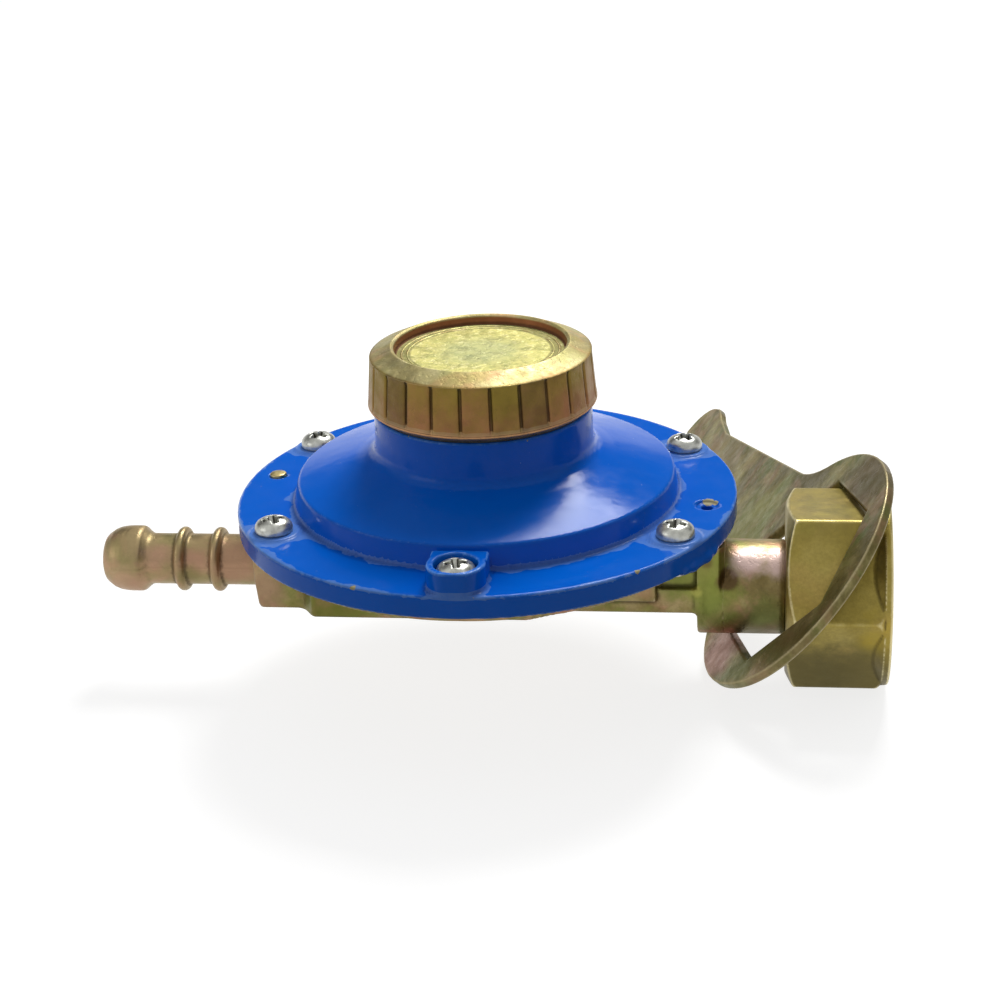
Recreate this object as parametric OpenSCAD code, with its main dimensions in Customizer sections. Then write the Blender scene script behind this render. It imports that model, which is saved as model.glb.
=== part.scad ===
// Diaphragm regulator for bottled gas: flanged housing, hose barb, union nut and flat spanner.
// Frame: origin where the union nut's thread begins, on the inlet axis. +X leaves the mouth, +Z is up.

/* [Housing flange] */
// Outer diameter of the bonnet flange
flange_d = 75; // [70:0.5:80]
// Height of the flange's rim
flange_rim_h = 3.4; // [3:0.1:4.5]
// Thickness of the flange plate above the diaphragm
flange_plate_t = 2.0; // [1.6:0.1:2.4]
// Wall of the skirt round the lower flange
skirt_wall = 1.3; // [1:0.1:2]
// Circle that the cover screws stand on
screw_pcd = 68; // [66:0.5:69]
// Number of cover screws
screw_count = 6; // [4:2:8]
// Radial clearance between bonnet skirt and lower flange
skirt_clearance = 0.2; // [0.1:0.05:0.3]
// Diameter of the locating pin
pin_d = 2.6; // [2:0.1:3]
// Angle of the locating pin on the screw circle
pin_angle = 171.4; // [165:0.1:176]

/* [Bonnet] */
// Diameter of the raised plateau at its top edge
plateau_d = 55.4; // [52:0.2:58]
// Height of the plateau's wall
plateau_h = 3.35; // [2.5:0.05:4]
// Draft of the plateau's wall
plateau_draft = 0.85; // [0.4:0.05:1.2]
// Height that the crown of the plateau rises to at the neck
crown_h = 6.9; // [6:0.1:8]
// Outer diameter of the neck
neck_d = 32.6; // [31:0.2:34]
// Fillet between the crown and the neck
neck_fillet_r = 2.2; // [1.4:0.1:2.6]
// Height of the neck's shoulder above the flange
neck_h = 14.1; // [13:0.1:16]
// Diameter of the threaded part of the neck, inside the cap
neck_thread_d = 29.4; // [28:0.2:30]
// Top of the neck's thread above the flange
neck_top_h = 19.6; // [18.8:0.1:19.8]
// Bore of the neck, where the adjusting screw runs
neck_bore_d = 24.8; // [23:0.2:25.4]
// Thickness of the bonnet's wall over the diaphragm
bonnet_wall = 2.4; // [2:0.1:3]
// Diameter of the vent hole at the back
vent_d = 2; // [1.5:0.1:3]
// Outer diameter of the raised screw cup at the front
cup_d = 8.3; // [7.6:0.1:9]
// Height of the raised screw seat in that cup
cup_seat_h = 1.5; // [1:0.1:2]
// Diameter of the pads under the other screws
pad_d = 9; // [8:0.2:10]
// Height of those pads
pad_h = 0.3; // [0.2:0.05:0.5]

/* [Cap] */
// Largest diameter of the cap, at its lower rim
cap_d = 34; // [33:0.2:36]
// Diameter of the cap at its upper shoulder
cap_top_d = 33; // [32:0.2:34]
// Height of the cap
cap_h = 8.63; // [8:0.05:10]
// Height of the rounded ring above the shoulder
cap_ring_h = 1.2; // [0.8:0.1:1.6]
// Diameter of the dished top
cap_dish_d = 26.7; // [25:0.2:28]
// Depth of the dished top
cap_dish_depth = 1.5; // [1:0.1:1.8]
// Number of grip grooves
groove_count = 22; // [18:1:28]
// Width of one grip groove
groove_w = 0.5; // [0.3:0.05:0.8]
// Depth of one grip groove
groove_depth = 0.45; // [0.3:0.05:0.6]
// Radial clearance of the cap's thread
cap_thread_clearance = 0.3; // [0.2:0.05:0.5]
// Thickness of the gasket under the cap
gasket_t = 0.5; // [0.3:0.05:0.8]

/* [Lower casting] */
// Thickness of the lower flange at its rim
lower_rim_t = 1.7; // [1.5:0.1:2.2]
// Thickness of the dish
dish_wall = 2.2; // [1.8:0.1:2.6]
// Depth of the chamber below the flange top
chamber_depth = 8.8; // [8.6:0.1:9]
// Diameter of the open chamber
chamber_d = 62; // [60:0.2:63]
// Radius of the dish's knee
dish_knee_r = 26; // [25.6:0.1:26.6]
// Depth of the dish's underside at its knee
dish_knee_depth = 8.6; // [8.4:0.1:8.9]
// Depth of the dish's flat underside
dish_bottom = 12.2; // [12:0.1:12.6]
// Left end of the middle block
middle_left = 28.3; // [27.4:0.1:29]
// Right end of the middle block
middle_right = 12.4; // [12:0.1:13]
// Half width of the middle block
block_half_w = 10; // [9:0.1:11]
// Half width of the bar and of the left block
bar_half_w = 7; // [6.5:0.1:7.6]
// Depth of the casting's underside below the flange top
block_bottom = 17.2; // [17:0.1:18]
// Left end of the casting
block_left = 37; // [36.4:0.1:38]
// Height of the bar's foot
foot_h = 4; // [3.4:0.1:4.4]
// Depth of the bar's upper face below the flange top
bar_top = 6.4; // [6.2:0.1:6.6]
// Depth of the lug's underside below the flange top
lug_bottom = 14.9; // [14.4:0.1:15.2]
// Right end of the lug
lug_right = 25.9; // [24:0.1:27]
// Where the bar ends and the elbow boss begins
boss_left = 31.95; // [31:0.05:32.4]
// Right face of the elbow boss
boss_right = 36; // [35.6:0.1:37]
// Rounding of the elbow boss's lower corner
boss_round = 3.2; // [2:0.1:3.6]

/* [Hose barb] */
// Depth of the barb's axis below the flange top
barb_depth = 12.2; // [11.8:0.1:12.6]
// Distance from the diaphragm axis to the barb's tip
barb_reach = 61.5; // [58:0.5:66]
// Largest diameter of the barb
barb_d = 10.3; // [9.8:0.1:11]
// Length of the barb's head
barb_head_l = 7.6; // [7:0.1:9]
// Diameter of the barb's shank
barb_shank_d = 7.95; // [7.5:0.05:8.5]
// Diameter of the two ribs
barb_rib_d = 9.95; // [9.4:0.05:10.4]
// Width of one rib
barb_rib_w = 2.4; // [2:0.1:3]
// Distance from the tip to the first rib
rib_first = 12.95; // [12:0.05:14]
// Distance between the ribs
rib_pitch = 6; // [5:0.1:7]
// Gas bore of the barb
barb_bore_d = 5; // [4:0.1:5.6]

/* [Inlet tail] */
// Depth of the inlet axis below the flange top
inlet_depth = 15.6; // [15.4:0.1:15.8]
// Outer diameter of the tail
tail_d = 14; // [13.6:0.05:14.4]
// Gas bore of the tail
tail_bore_d = 5; // [4:0.1:6]
// Diameter of the screwed end in the elbow boss
spigot_d = 9.2; // [8:0.1:10]
// Length of the screwed end
spigot_l = 3; // [2:0.1:3]
// Visible length of the tail between boss and nut
tail_gap = 9.05; // [8:0.05:12]
// Diameter of the collar that holds the nut
collar_d = 18.4; // [17.6:0.1:18.8]
// Thickness of the collar
collar_t = 2.2; // [1.8:0.1:2.6]
// Thickness of the sealing washer
seal_t = 1.8; // [1.2:0.1:2.4]
// Diameter of the filter
filter_d = 6.3; // [5.6:0.1:7]
// Depth of the filter's recess
filter_depth = 2; // [1.6:0.1:2.6]

/* [Union nut] */
// Size across the flats
nut_af = 26.4; // [26.2:0.1:27]
// Turn of the nut about its axis
nut_rest_turn = -4.4; // [-30:0.1:30]
// Length of the nut
nut_l = 15.5; // [15:0.1:20]
// Thickness of the nut's inner shoulder
nut_shoulder = 3; // [2.6:0.1:3.4]
// Length of the thread's chamfered entry
thread_entry_l = 0.6; // [0.4:0.1:0.9]
// Bore of the inlet thread
nut_thread_d = 19.5; // [19:0.1:20]
// Running clearance of the nut on the tail, on the radius
nut_clearance = 0.08; // [0.04:0.01:0.1]
// Play along the axis between the nut's shoulder and the collar
nut_end_play = 0.3; // [0.2:0.05:0.5]
// Diameter of the round collar at the nut's mouth
nut_rim_d = 29.3; // [28.6:0.1:30]
// Width of that collar
nut_rim_w = 1.1; // [0.8:0.1:1.6]
// Length of the cone behind it
nut_cone_l = 1.8; // [1.4:0.1:2.4]

/* [Spanner] */
// Size across the flats of the spanner's hexagon
spanner_af = 28.4; // [28:0.1:28.8]
// Outer diameter of the spanner's ring
spanner_ring_d = 41.7; // [40.6:0.1:43.4]
// Offset of the hexagon from the ring's centre, along the handle
hexagon_offset = 0.7; // [0:0.1:1]
// Thickness of the sheet
spanner_t = 1.5; // [1.4:0.1:1.8]
// Half width of the handle near the ring
handle_root_w = 11.1; // [9:0.1:12]
// Half width of the handle at its neck
handle_neck_w = 5.3; // [4.5:0.1:6.5]
// Distance from the hexagon's centre to the neck
handle_neck_l = 67; // [60:0.5:72]
// Distance from the hexagon's centre to the handle's round end
handle_l = 79; // [76:0.2:88]
// Diameter of the round end
handle_end_d = 14.1; // [12:0.1:15]
// Fillet between the ring and the handle
root_fillet_r = 14; // [6:0.5:16]
// Turn of the hexagon against the handle
hexagon_turn = 0; // [0:0.1:5]

/* [Regulating parts] */
// Thickness of the rubber diaphragm
diaphragm_t = 0.8; // [0.6:0.05:1]
// Depth of the diaphragm's rolled fold
fold_depth = 1.1; // [0.8:0.1:1.4]
// Diameter of the upper plate
upper_plate_d = 45; // [42:0.5:47]
// Diameter of the lower plate
lower_plate_d = 44; // [41:0.5:46]
// Thickness of the plates
plate_t = 0.9; // [0.8:0.05:1]
// Diameter of the stem's thread
stem_thread_d = 4; // [3.5:0.1:4.4]
// Diameter of the stem's lower body
stem_d = 6.4; // [6:0.1:6.6]
// Size across the flats of the stem nut
stem_nut_af = 7; // [6.5:0.1:8]
// Mean diameter of the main spring
spring_d = 17; // [16:0.2:18]
// Wire diameter of the main spring
spring_wire = 1.6; // [1.2:0.1:2]
// Number of turns of the main spring
spring_turns = 6; // [5:0.5:6.5]
// Length of the main spring as set
spring_l = 13.9; // [13:0.1:14.2]
// Thickness of the spring seat
seat_t = 1.2; // [1:0.1:1.5]
// Thickness of the adjusting screw
adjuster_t = 4; // [3:0.1:4.2]
// Hexagon socket of the adjusting screw
adjuster_af = 10; // [8:0.5:12]

/* [Valve] */
// Depth of the valve axis below the flange top
valve_depth = 13; // [12.9:0.1:13.1]
// Diameter of the valve plunger
plunger_d = 5.8; // [5.4:0.1:6]
// Left end of the plunger
plunger_left = 15; // [14:0.1:16]
// Diameter of the nozzle's body
nozzle_d = 6; // [5.4:0.1:6.2]
// Length of the nozzle
nozzle_l = 10; // [8:0.1:12]
// Orifice
orifice_d = 2.4; // [1.6:0.1:3]
// Distance from the stem to the lever's pivot
lever_arm = 10; // [9.6:0.1:10.4]
// Length of the lever's short arm
lever_short = 2.7; // [2.6:0.05:2.8]
// Thickness of the lever across its arm
lever_w = 3; // [2.6:0.1:3.2]
// Diameter of the lever's pin
lever_pin_d = 1.6; // [1.4:0.05:1.8]
// Length of the lever's pin
lever_pin_l = 9; // [8.6:0.1:9.4]
// Opening of the valve when the gas is off
valve_gap = 0.35; // [0.34:0.01:0.5]

/* [Hidden] */
$fn = 96;
eps = 0.01;
// Small clearances: threads and pressed pieces, running pieces, faces that only meet
fit_gap = 0.02;
running_gap = 0.05;
face_gap = 0.03;
// Colours
blue_paint = "#0A5AC8";
zinc_yellow = "#9A9454";
steel = "silver";
brass = "#B5A642";
rubber_black = "#202020";

// Places along X, from the diaphragm axis
flange_r = flange_d / 2;
nut_left = boss_right + tail_gap;
mouth_x = nut_left + nut_l;
origin_x = mouth_x - thread_entry_l - 0.1;
collar_left = nut_left + nut_shoulder + nut_end_play;
collar_right = collar_left + collar_t;
// Heights, from the top of the flange
clamp_z = -flange_plate_t;
lower_top = clamp_z - diaphragm_t;
lower_rim_r = flange_r - skirt_wall - skirt_clearance;
plate_z = clamp_z - 0.5;
stem_bottom = -chamber_depth - 0.8;
pocket_floor = -chamber_depth - 1.1;
arm_z = -chamber_depth + 0.8;
hub_z = -valve_depth + lever_short;
spring_low = plate_z + plate_t + face_gap;
seat_low = spring_low + spring_l;
adjuster_low = seat_low + seat_t + running_gap;
cap_low = neck_h + gasket_t + 2 * face_gap;
cap_top = cap_low + cap_h;
cap_under = cap_top - cap_dish_depth - 1.8;
// M3 pan head screw
screw_d = 3;
screw_hole_d = 3.4;
screw_l = 6;
head_d = 5.6;
head_h = 2.1;
// Valve places
well_x = 2;
well_r = 3.6;
nozzle_left = 5;
lip_h = 0.4;
seat_disc_t = 1.2;
seat_disc_d = 4.4;
plunger_right = nozzle_left - lip_h - valve_gap - 0.25;
port_x = -24.5;
hub_r = 1.7;
tip_r = 0.8;

module at_inlet() translate([-origin_x, 0, inlet_depth]) children();

// A revolve about an axis along +X: the profile's first value is the radius, its second is X
module revolve_x() rotate([0, 90, 0]) rotate([0, 0, 180]) rotate_extrude() children();
module rod_x(r, x0, x1) translate([x0, 0, 0]) rotate([0, 90, 0]) cylinder(r = r, h = x1 - x0);
module rod_y(r, half) rotate([90, 0, 0]) cylinder(r = r, h = 2 * half, center = true);

function arc(cx, cy, r, a0, a1, n = 6) =
    [for (i = [0 : n]) let (a = a0 + (a1 - a0) * i / n) [cx + r * cos(a), cy + r * sin(a)]];

// The places of the cover screws: angle and height of the seat
function screw_angle(i) = -90 + 360 / screw_count * i;
function screw_seat(i) = i == 0 ? cup_seat_h : pad_h;
module at_screw(i) rotate([0, 0, screw_angle(i)]) translate([screw_pcd / 2, 0, 0]) children();
module at_pin(a) rotate([0, 0, a]) translate([screw_pcd / 2, 0, 0]) children();

// ---- Lower casting ----

function dish_outside() = [
    [lower_rim_r, lower_top], [lower_rim_r, lower_top - lower_rim_t],
    [lower_rim_r - 3, lower_top - lower_rim_t - 1.2], [dish_knee_r, -dish_knee_depth],
    [dish_knee_r - 6, -dish_knee_depth - 2], [dish_knee_r - 11, -dish_bottom], [0, -dish_bottom]];
function dish_inside() = [
    [chamber_d / 2, lower_top + eps], [chamber_d / 2, lower_top], [chamber_d / 2 - 1, lower_top - 1.3],
    [dish_knee_r - 2, -dish_knee_depth + dish_wall], [dish_knee_r - 8.5, -chamber_depth + 0.3],
    [dish_knee_r - 10, -chamber_depth], [0, -chamber_depth],
    [0, lower_top + eps]];

module dish() rotate_extrude() polygon(concat(dish_outside(), [[0, lower_top]]));

// Side view of the left block, with its drafted end
module left_block() rotate([90, 0, 0]) linear_extrude(2 * bar_half_w, center = true) polygon([
    [-block_left, lower_top - lower_rim_t - 0.4], [-block_left, -13.4],
    [-block_left + 0.6, -block_bottom + 0.4], [-block_left + 1, -block_bottom],
    [-20, -block_bottom], [-20, lower_top - lower_rim_t - 0.4]]);

// Plan view of the middle block: one short flank and one long oblique flank
module middle_block() translate([0, 0, -block_bottom]) linear_extrude(block_bottom - 9) polygon([
    [-middle_left, -bar_half_w], [-middle_left + 2, -block_half_w], [middle_right - 5.7, -block_half_w],
    [middle_right, -bar_half_w], [middle_right, bar_half_w], [middle_right - 5.7, block_half_w],
    [-middle_left + 2, block_half_w], [-middle_left, bar_half_w]]);

// The bar to the elbow: a foot, a narrower rib over it and a lug with a sloping underside
module bar() {
    start = middle_right - 2.4;
    run = boss_left + 1 - start;
    translate([start, -bar_half_w, -block_bottom + 0.2]) cube([run, 2 * bar_half_w, foot_h]);
    translate([start, -bar_half_w + 0.8, -block_bottom + 1])
        cube([run, 2 * bar_half_w - 1.6, block_bottom - 1 - bar_top]);
    translate([start, -bar_half_w - 0.7, -lug_bottom])
        cube([lug_right - start, 2 * bar_half_w + 1.4, lug_bottom - bar_top - 3.1]);
}

// The elbow boss: flat cheeks, a half-round underside and a rounded lower left corner
module elbow_boss() intersection() {
    union() {
        translate([0, 0, -inlet_depth]) rod_x(bar_half_w, boss_left, boss_right);
        translate([boss_left, -bar_half_w, -inlet_depth])
            cube([boss_right - boss_left, 2 * bar_half_w, inlet_depth - bar_top]);
    }
    rotate([90, 0, 0]) linear_extrude(2 * block_half_w, center = true) polygon(concat(
        [[boss_left, -5], [boss_right, -5], [boss_right, -inlet_depth - bar_half_w]],
        arc(boss_left + boss_round, -inlet_depth - bar_half_w + boss_round, boss_round, 270, 180, 10)));
}

// Outline of the barb: a rounded barrel head, two rounded ribs and a plain shank
function rib_outline(x) = let (r = barb_rib_d / 2, s = barb_shank_d / 2, w = barb_rib_w / 2) concat(
    [[s, x - w], [s + 0.55 * (r - s), x - 0.72 * w]], arc(r - 0.5, x, 0.5, -60, 60, 6),
    [[s + 0.55 * (r - s), x + 0.72 * w], [s, x + w]]);
function barb_outline() = let (r = barb_d / 2, s = barb_shank_d / 2, tip = -barb_reach) concat(
    [[0, tip]], arc(r - 2.2, tip + 1.3, 1.3, -90, -20, 6), [[r - 0.35, tip + 2.6], [r, tip + 4.4]],
    arc(r - 1.6, tip + barb_head_l - 1.8, 1.6, 0, 62, 6), [[s, tip + barb_head_l]],
    rib_outline(tip + rib_first), rib_outline(tip + rib_first + rib_pitch),
    [[s, -block_left + 2], [0, -block_left + 2]]);
module barb() translate([0, 0, -barb_depth]) revolve_x() polygon(barb_outline());

// The chamber, the lever's pockets, the valve's bores and the gas ways
module gas_ways() {
    rotate_extrude() polygon(dish_inside());
    translate([-lever_arm - 4, -3.4, pocket_floor])
        cube([lever_arm + 4 + stem_d / 2 + 1.2, 6.8, -pocket_floor - chamber_depth + 1]);
    translate([0, 0, pocket_floor]) cylinder(d = stem_d + 1.6, h = -pocket_floor - chamber_depth + 0.9);
    translate([-lever_arm - hub_r - 0.5, -lever_w / 2 - 0.4, -valve_depth])
        cube([2 * hub_r + 1, lever_w + 0.8, valve_depth - chamber_depth + 0.5]);
    translate([0, 0, -valve_depth]) rod_x(plunger_d / 2 + running_gap, -plunger_left - 1, well_x);
    translate([well_x, 0, -valve_depth - plunger_d / 2 - 0.1])
        cylinder(r = well_r, h = valve_depth + plunger_d / 2 + 0.9 - chamber_depth);
    translate([0, 0, -valve_depth]) rod_x(nozzle_d / 2 + fit_gap, well_x, nozzle_left + nozzle_l);
    translate([0, 0, -valve_depth]) rod_x(1.75, nozzle_left + nozzle_l - 1, boss_right - spigot_l);
    translate([0, 0, -inlet_depth]) rod_x(spigot_d / 2 + fit_gap, boss_right - spigot_l, boss_right + eps);
    translate([-lever_arm, 0, hub_z]) rod_y(lever_pin_d / 2 + fit_gap, lever_pin_l / 2 + 0.1);
    translate([port_x, 0, -barb_depth]) cylinder(d = barb_bore_d, h = barb_depth + lower_top - 1.4);
    translate([0, 0, -barb_depth]) rod_x(barb_bore_d / 2, -barb_reach - eps, port_x + 1.5);
}

module lower_body() color(zinc_yellow) at_inlet() difference() {
    union() {
        dish();
        left_block();
        middle_block();
        bar();
        elbow_boss();
        barb();
    }
    gas_ways();
    for (i = [0 : screw_count - 1]) at_screw(i)
        translate([0, 0, -2 * screw_l]) cylinder(d = screw_d + 2 * fit_gap, h = 2 * screw_l);
    at_pin(pin_angle) translate([0, 0, lower_top - 1.5]) cylinder(d = pin_d + 2 * fit_gap, h = 3);
}

// ---- Bonnet ----

function bonnet_outside() = let (r = plateau_d / 2, n = neck_d / 2, f = neck_fillet_r) concat(
    [[flange_r, -flange_rim_h], [flange_r, -0.35], [flange_r - 0.35, 0], [r + plateau_draft + 0.6, 0]],
    [[r + plateau_draft + 0.15, 0.2], [r + 0.2, plateau_h - 0.5]],
    arc(r - 0.5, plateau_h - 0.5, 0.6, 0, 80, 4),
    [[r - 4, plateau_h + 0.95], [n + 4.2, crown_h - 1.5], [n + 2.2, crown_h - 0.65]],
    arc(n + f, crown_h + 0.94 * f - 0.31, f, -110, -180, 6), [[n, neck_h - 0.3], [n - 0.3, neck_h]],
    [[neck_thread_d / 2, neck_h], [neck_thread_d / 2, neck_top_h - 0.4],
     [neck_thread_d / 2 - 0.4, neck_top_h],
    [0, neck_top_h], [0, -flange_rim_h]]);
function bonnet_inside() = let (b = neck_bore_d / 2, c = chamber_d / 2, w = bonnet_wall) [
    [0, -flange_rim_h - eps], [flange_r - skirt_wall, -flange_rim_h - eps], [flange_r - skirt_wall, clamp_z],
    [c, clamp_z], [c - 1, clamp_z + 0.5], [plateau_d / 2 + plateau_draft, clamp_z + 0.8],
    [plateau_d / 2 - 1.5, plateau_h - w], [b + 5, crown_h - w - 1], [b, crown_h - w],
    [b, neck_top_h + eps], [0, neck_top_h + eps]];

// The raised cup round the front screw, run back to the plateau
module cup_solid() intersection() {
    union() {
        at_screw(0) cylinder(d = cup_d, h = plateau_h);
        translate([-cup_d / 2 - 0.3, -screw_pcd / 2 + 1, 0]) cube([cup_d + 0.6, 7, plateau_h - 0.1]);
    }
    cylinder(r = flange_r, h = 2 * plateau_h);
}

module bonnet() color(blue_paint) at_inlet() difference() {
    union() {
        rotate_extrude() polygon(bonnet_outside());
        for (i = [1 : screw_count - 1]) at_screw(i) intersection() {
            translate([0, 0, -1]) cylinder(d = pad_d, h = 1 + pad_h);
            translate([flange_r - screw_pcd / 2 - flange_r, 0, 0])
                cylinder(r = flange_r - screw_pcd / 2 + 3.5, h = 6);
        }
        cup_solid();
    }
    rotate_extrude() polygon(bonnet_inside());
    for (i = [0 : screw_count - 1]) at_screw(i) {
        translate([0, 0, -6]) cylinder(d = screw_hole_d, h = 12);
        translate([0, 0, screw_seat(i)]) cylinder(d = head_d + 0.5, h = 6);
    }
    at_pin(pin_angle) translate([0, 0, -6]) cylinder(d = pin_d + 2 * fit_gap, h = 12);
    at_pin(pin_angle - 180) translate([0, 0, -6]) cylinder(d = pin_d, h = 12);
    at_pin(pin_angle - 180) translate([0, 0, -0.6]) cylinder(d = pin_d + 1.4, h = 6);
    rotate([0, 0, 75]) translate([plateau_d / 2 - 6, 0, 0]) cylinder(d = vent_d, h = 12);
}

module locating_pin() color(brass) at_inlet() at_pin(pin_angle)
    translate([0, 0, lower_top - 1.4]) cylinder(d = pin_d, h = -lower_top + 1.4 + 0.35);

module pan_screw() {
    r = head_d / 2;
    rotate_extrude() polygon([[0, 0], [r, 0], [r, 0.5], [r - 0.15, 0.95], [r - 0.7, head_h - 0.5],
        [r - 1.4, head_h - 0.12], [0, head_h]]);
    translate([0, 0, -screw_l]) cylinder(d = screw_d, h = screw_l + eps);
}
module cover_screws() color(steel) at_inlet() for (i = [0 : screw_count - 1])
    at_screw(i) translate([0, 0, screw_seat(i)]) pan_screw();

// ---- Diaphragm set ----

// Middle line of the rubber, from the rim to the stem hole, with its rolled fold
function rubber_line() = let (a = lower_rim_r - 0.4, c = chamber_d / 2 - 1.2, p = upper_plate_d / 2 + 1.4,
    mid = (c + p) / 2, half = (c - p) / 2, z0 = clamp_z - diaphragm_t / 2, z1 = plate_z - diaphragm_t / 2)
    concat([[a, z0]], [for (i = [0 : 12]) let (u = -1 + i / 6)
        [mid - half * u, z0 + (z1 - z0) * (u + 1) / 2 - fold_depth * (1 + cos(180 * u)) / 2]],
        [[stem_thread_d / 2 + fit_gap, z1]]);
module diaphragm() color(rubber_black) at_inlet() difference() {
    rotate_extrude() polygon(concat(
        [for (p = rubber_line()) [p[0], p[1] + diaphragm_t / 2]],
        [for (i = [len(rubber_line()) - 1 : -1 : 0]) rubber_line()[i] - [0, diaphragm_t / 2]]));
    for (i = [0 : screw_count - 1]) at_screw(i) translate([0, 0, -6]) cylinder(d = screw_hole_d, h = 8);
    at_pin(pin_angle) translate([0, 0, -6]) cylinder(d = pin_d + 2 * fit_gap, h = 8);
}

// A pressed plate with a turned-up or turned-down rim
module pressed_plate(d, hole, rim) rotate_extrude() polygon([
    [hole / 2, 0], [d / 2 - 0.9, 0], [d / 2, rim - plate_t], [d / 2, rim],
    [d / 2 - 1.3, plate_t], [hole / 2, plate_t]]);
module upper_diaphragm_plate() color(steel) at_inlet() translate([0, 0, plate_z + face_gap / 2])
    pressed_plate(upper_plate_d, stem_thread_d + 2 * fit_gap, 2 * plate_t);
module lower_diaphragm_plate() color(steel) at_inlet()
    translate([0, 0, plate_z - diaphragm_t - face_gap / 2]) mirror([0, 0, 1])
    pressed_plate(lower_plate_d, stem_thread_d + 2 * fit_gap, 2 * plate_t);

module diaphragm_stem() color(brass) at_inlet() {
    shoulder = plate_z - diaphragm_t - plate_t - face_gap;
    difference() {
        union() {
            translate([0, 0, stem_bottom]) cylinder(d = stem_d, h = shoulder - stem_bottom);
            translate([0, 0, shoulder - eps])
                cylinder(d = stem_thread_d, h = plate_z + plate_t + 3.4 - shoulder);
        }
        translate([-stem_d, -lever_w / 2 - 0.25, arm_z - tip_r - 0.15])
            cube([stem_d + tip_r + 0.5, lever_w + 0.5, 2 * tip_r + 0.3]);
    }
}
module stem_nut() color(steel) at_inlet() translate([0, 0, plate_z + plate_t + face_gap]) difference() {
    cylinder(d = stem_nut_af / cos(30), h = 2.6, $fn = 6);
    translate([0, 0, -1]) cylinder(d = stem_thread_d + 2 * fit_gap, h = 5);
}

// ---- Main spring: one unbroken tube along a helix, flattened towards its ends ----

coil_sides = 6;
coil_steps = 14;
coil_n = coil_steps * spring_turns;
function coil_rise(t) = let (e = 0.9) t < e ? 0.35 * t : t > spring_turns - e
    ? 0.35 * e + (spring_turns - 2 * e) + 0.35 * (t - spring_turns + e) : 0.35 * e + (t - e);
function coil_point(i, j) = let (t = i / coil_steps, r = spring_wire / 2, a = 360 * t,
    rise = (spring_l - spring_wire) * coil_rise(t) / coil_rise(spring_turns), b = 360 * j / coil_sides + 30,
    m = spring_d / 2 + r * cos(b)) [m * cos(a), m * sin(a), rise + r + r * sin(b)];
module main_spring() color(steel) at_inlet() translate([0, 0, spring_low]) polyhedron(
    points = [for (i = [0 : coil_n]) for (j = [0 : coil_sides - 1]) coil_point(i, j)],
    faces = concat([[for (j = [coil_sides - 1 : -1 : 0]) j]],
        [for (i = [0 : coil_n - 1]) for (j = [0 : coil_sides - 1])
            let (k = (j + 1) % coil_sides, p = i * coil_sides)
            [p + j, p + coil_sides + k, p + coil_sides + j]],
        [for (i = [0 : coil_n - 1]) for (j = [0 : coil_sides - 1])
            let (k = (j + 1) % coil_sides, p = i * coil_sides)
            [p + j, p + k, p + coil_sides + k]],
        [[for (j = [0 : coil_sides - 1]) coil_n * coil_sides + j]]));

module spring_seat() color(steel) at_inlet() translate([0, 0, seat_low + face_gap]) {
    cylinder(d = spring_d + spring_wire + 2, h = seat_t - face_gap);
    translate([0, 0, -1.5]) cylinder(d = spring_d - spring_wire - 1, h = 1.5 + eps);
}
module adjusting_screw() color(zinc_yellow) at_inlet() translate([0, 0, adjuster_low]) difference() {
    cylinder(d = neck_bore_d - 2 * running_gap, h = adjuster_t);
    translate([0, 0, 1]) cylinder(d = adjuster_af / cos(30), h = adjuster_t, $fn = 6);
}

// ---- Cap ----

function cap_outside() = let (r = cap_d / 2, s = cap_top_d / 2, g = cap_dish_d / 2, z = cap_low, t = cap_top)
    concat(
    [[r - 1, z], [r, z + 0.7], [r, z + 1.1], [s, t - cap_ring_h]],
    arc(s - 0.6, t - cap_ring_h + 0.1, 0.6, 0, 50, 4), arc(g + 1.1, t - 0.7, 0.7, 70, 130, 5),
    [[g, t - cap_dish_depth], [g - 2.2, t - cap_dish_depth], [g - 2.5, t - cap_dish_depth + 0.2],
    [g - 2.8, t - cap_dish_depth], [0, t - cap_dish_depth], [0, z]]);
module bonnet_cap() color(zinc_yellow) at_inlet() difference() {
    rotate_extrude() polygon(cap_outside());
    translate([0, 0, cap_low - eps])
        cylinder(d = neck_thread_d + 2 * cap_thread_clearance, h = cap_under - cap_low);
    for (i = [0 : groove_count - 1]) rotate([0, 0, 360 / groove_count * i])
        translate([cap_top_d / 2 - groove_depth, -groove_w / 2, cap_low + 1.5])
            cube([4, groove_w, cap_h - 1.5 - cap_ring_h + 0.2]);
}
module cap_gasket() color(rubber_black) at_inlet() translate([0, 0, neck_h + face_gap]) difference() {
    cylinder(d = neck_d - 0.2, h = gasket_t);
    translate([0, 0, -1]) cylinder(d = neck_thread_d + 0.1, h = 3);
}

// ---- Valve ----

// The bell crank: a level arm to the stem, a round hub and a short arm down to the plunger
module lever() color(steel) at_inlet() difference() {
    union() {
        translate([-lever_arm, 0, hub_z]) rod_y(hub_r, lever_w / 2);
        hull() {
            translate([-lever_arm + 1, 0, arm_z - 0.35]) rod_y(0.45, lever_w / 2, $fn = 24);
            translate([-lever_arm, 0, hub_z + 0.6]) rod_y(0.9, lever_w / 2, $fn = 24);
        }
        translate([-lever_arm + 0.6, -lever_w / 2, arm_z - 0.45]) cube([lever_arm - 0.6, lever_w, 0.9]);
        translate([0, 0, arm_z]) rod_y(tip_r, lever_w / 2);
        translate([-lever_arm - 0.5, -lever_w / 2, -valve_depth]) cube([1, lever_w, lever_short - 1]);
        translate([-lever_arm, 0, -valve_depth]) rod_y(0.75, lever_w / 2);
    }
    translate([-lever_arm, 0, hub_z]) rod_y(lever_pin_d / 2 + running_gap, lever_w);
}
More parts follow.
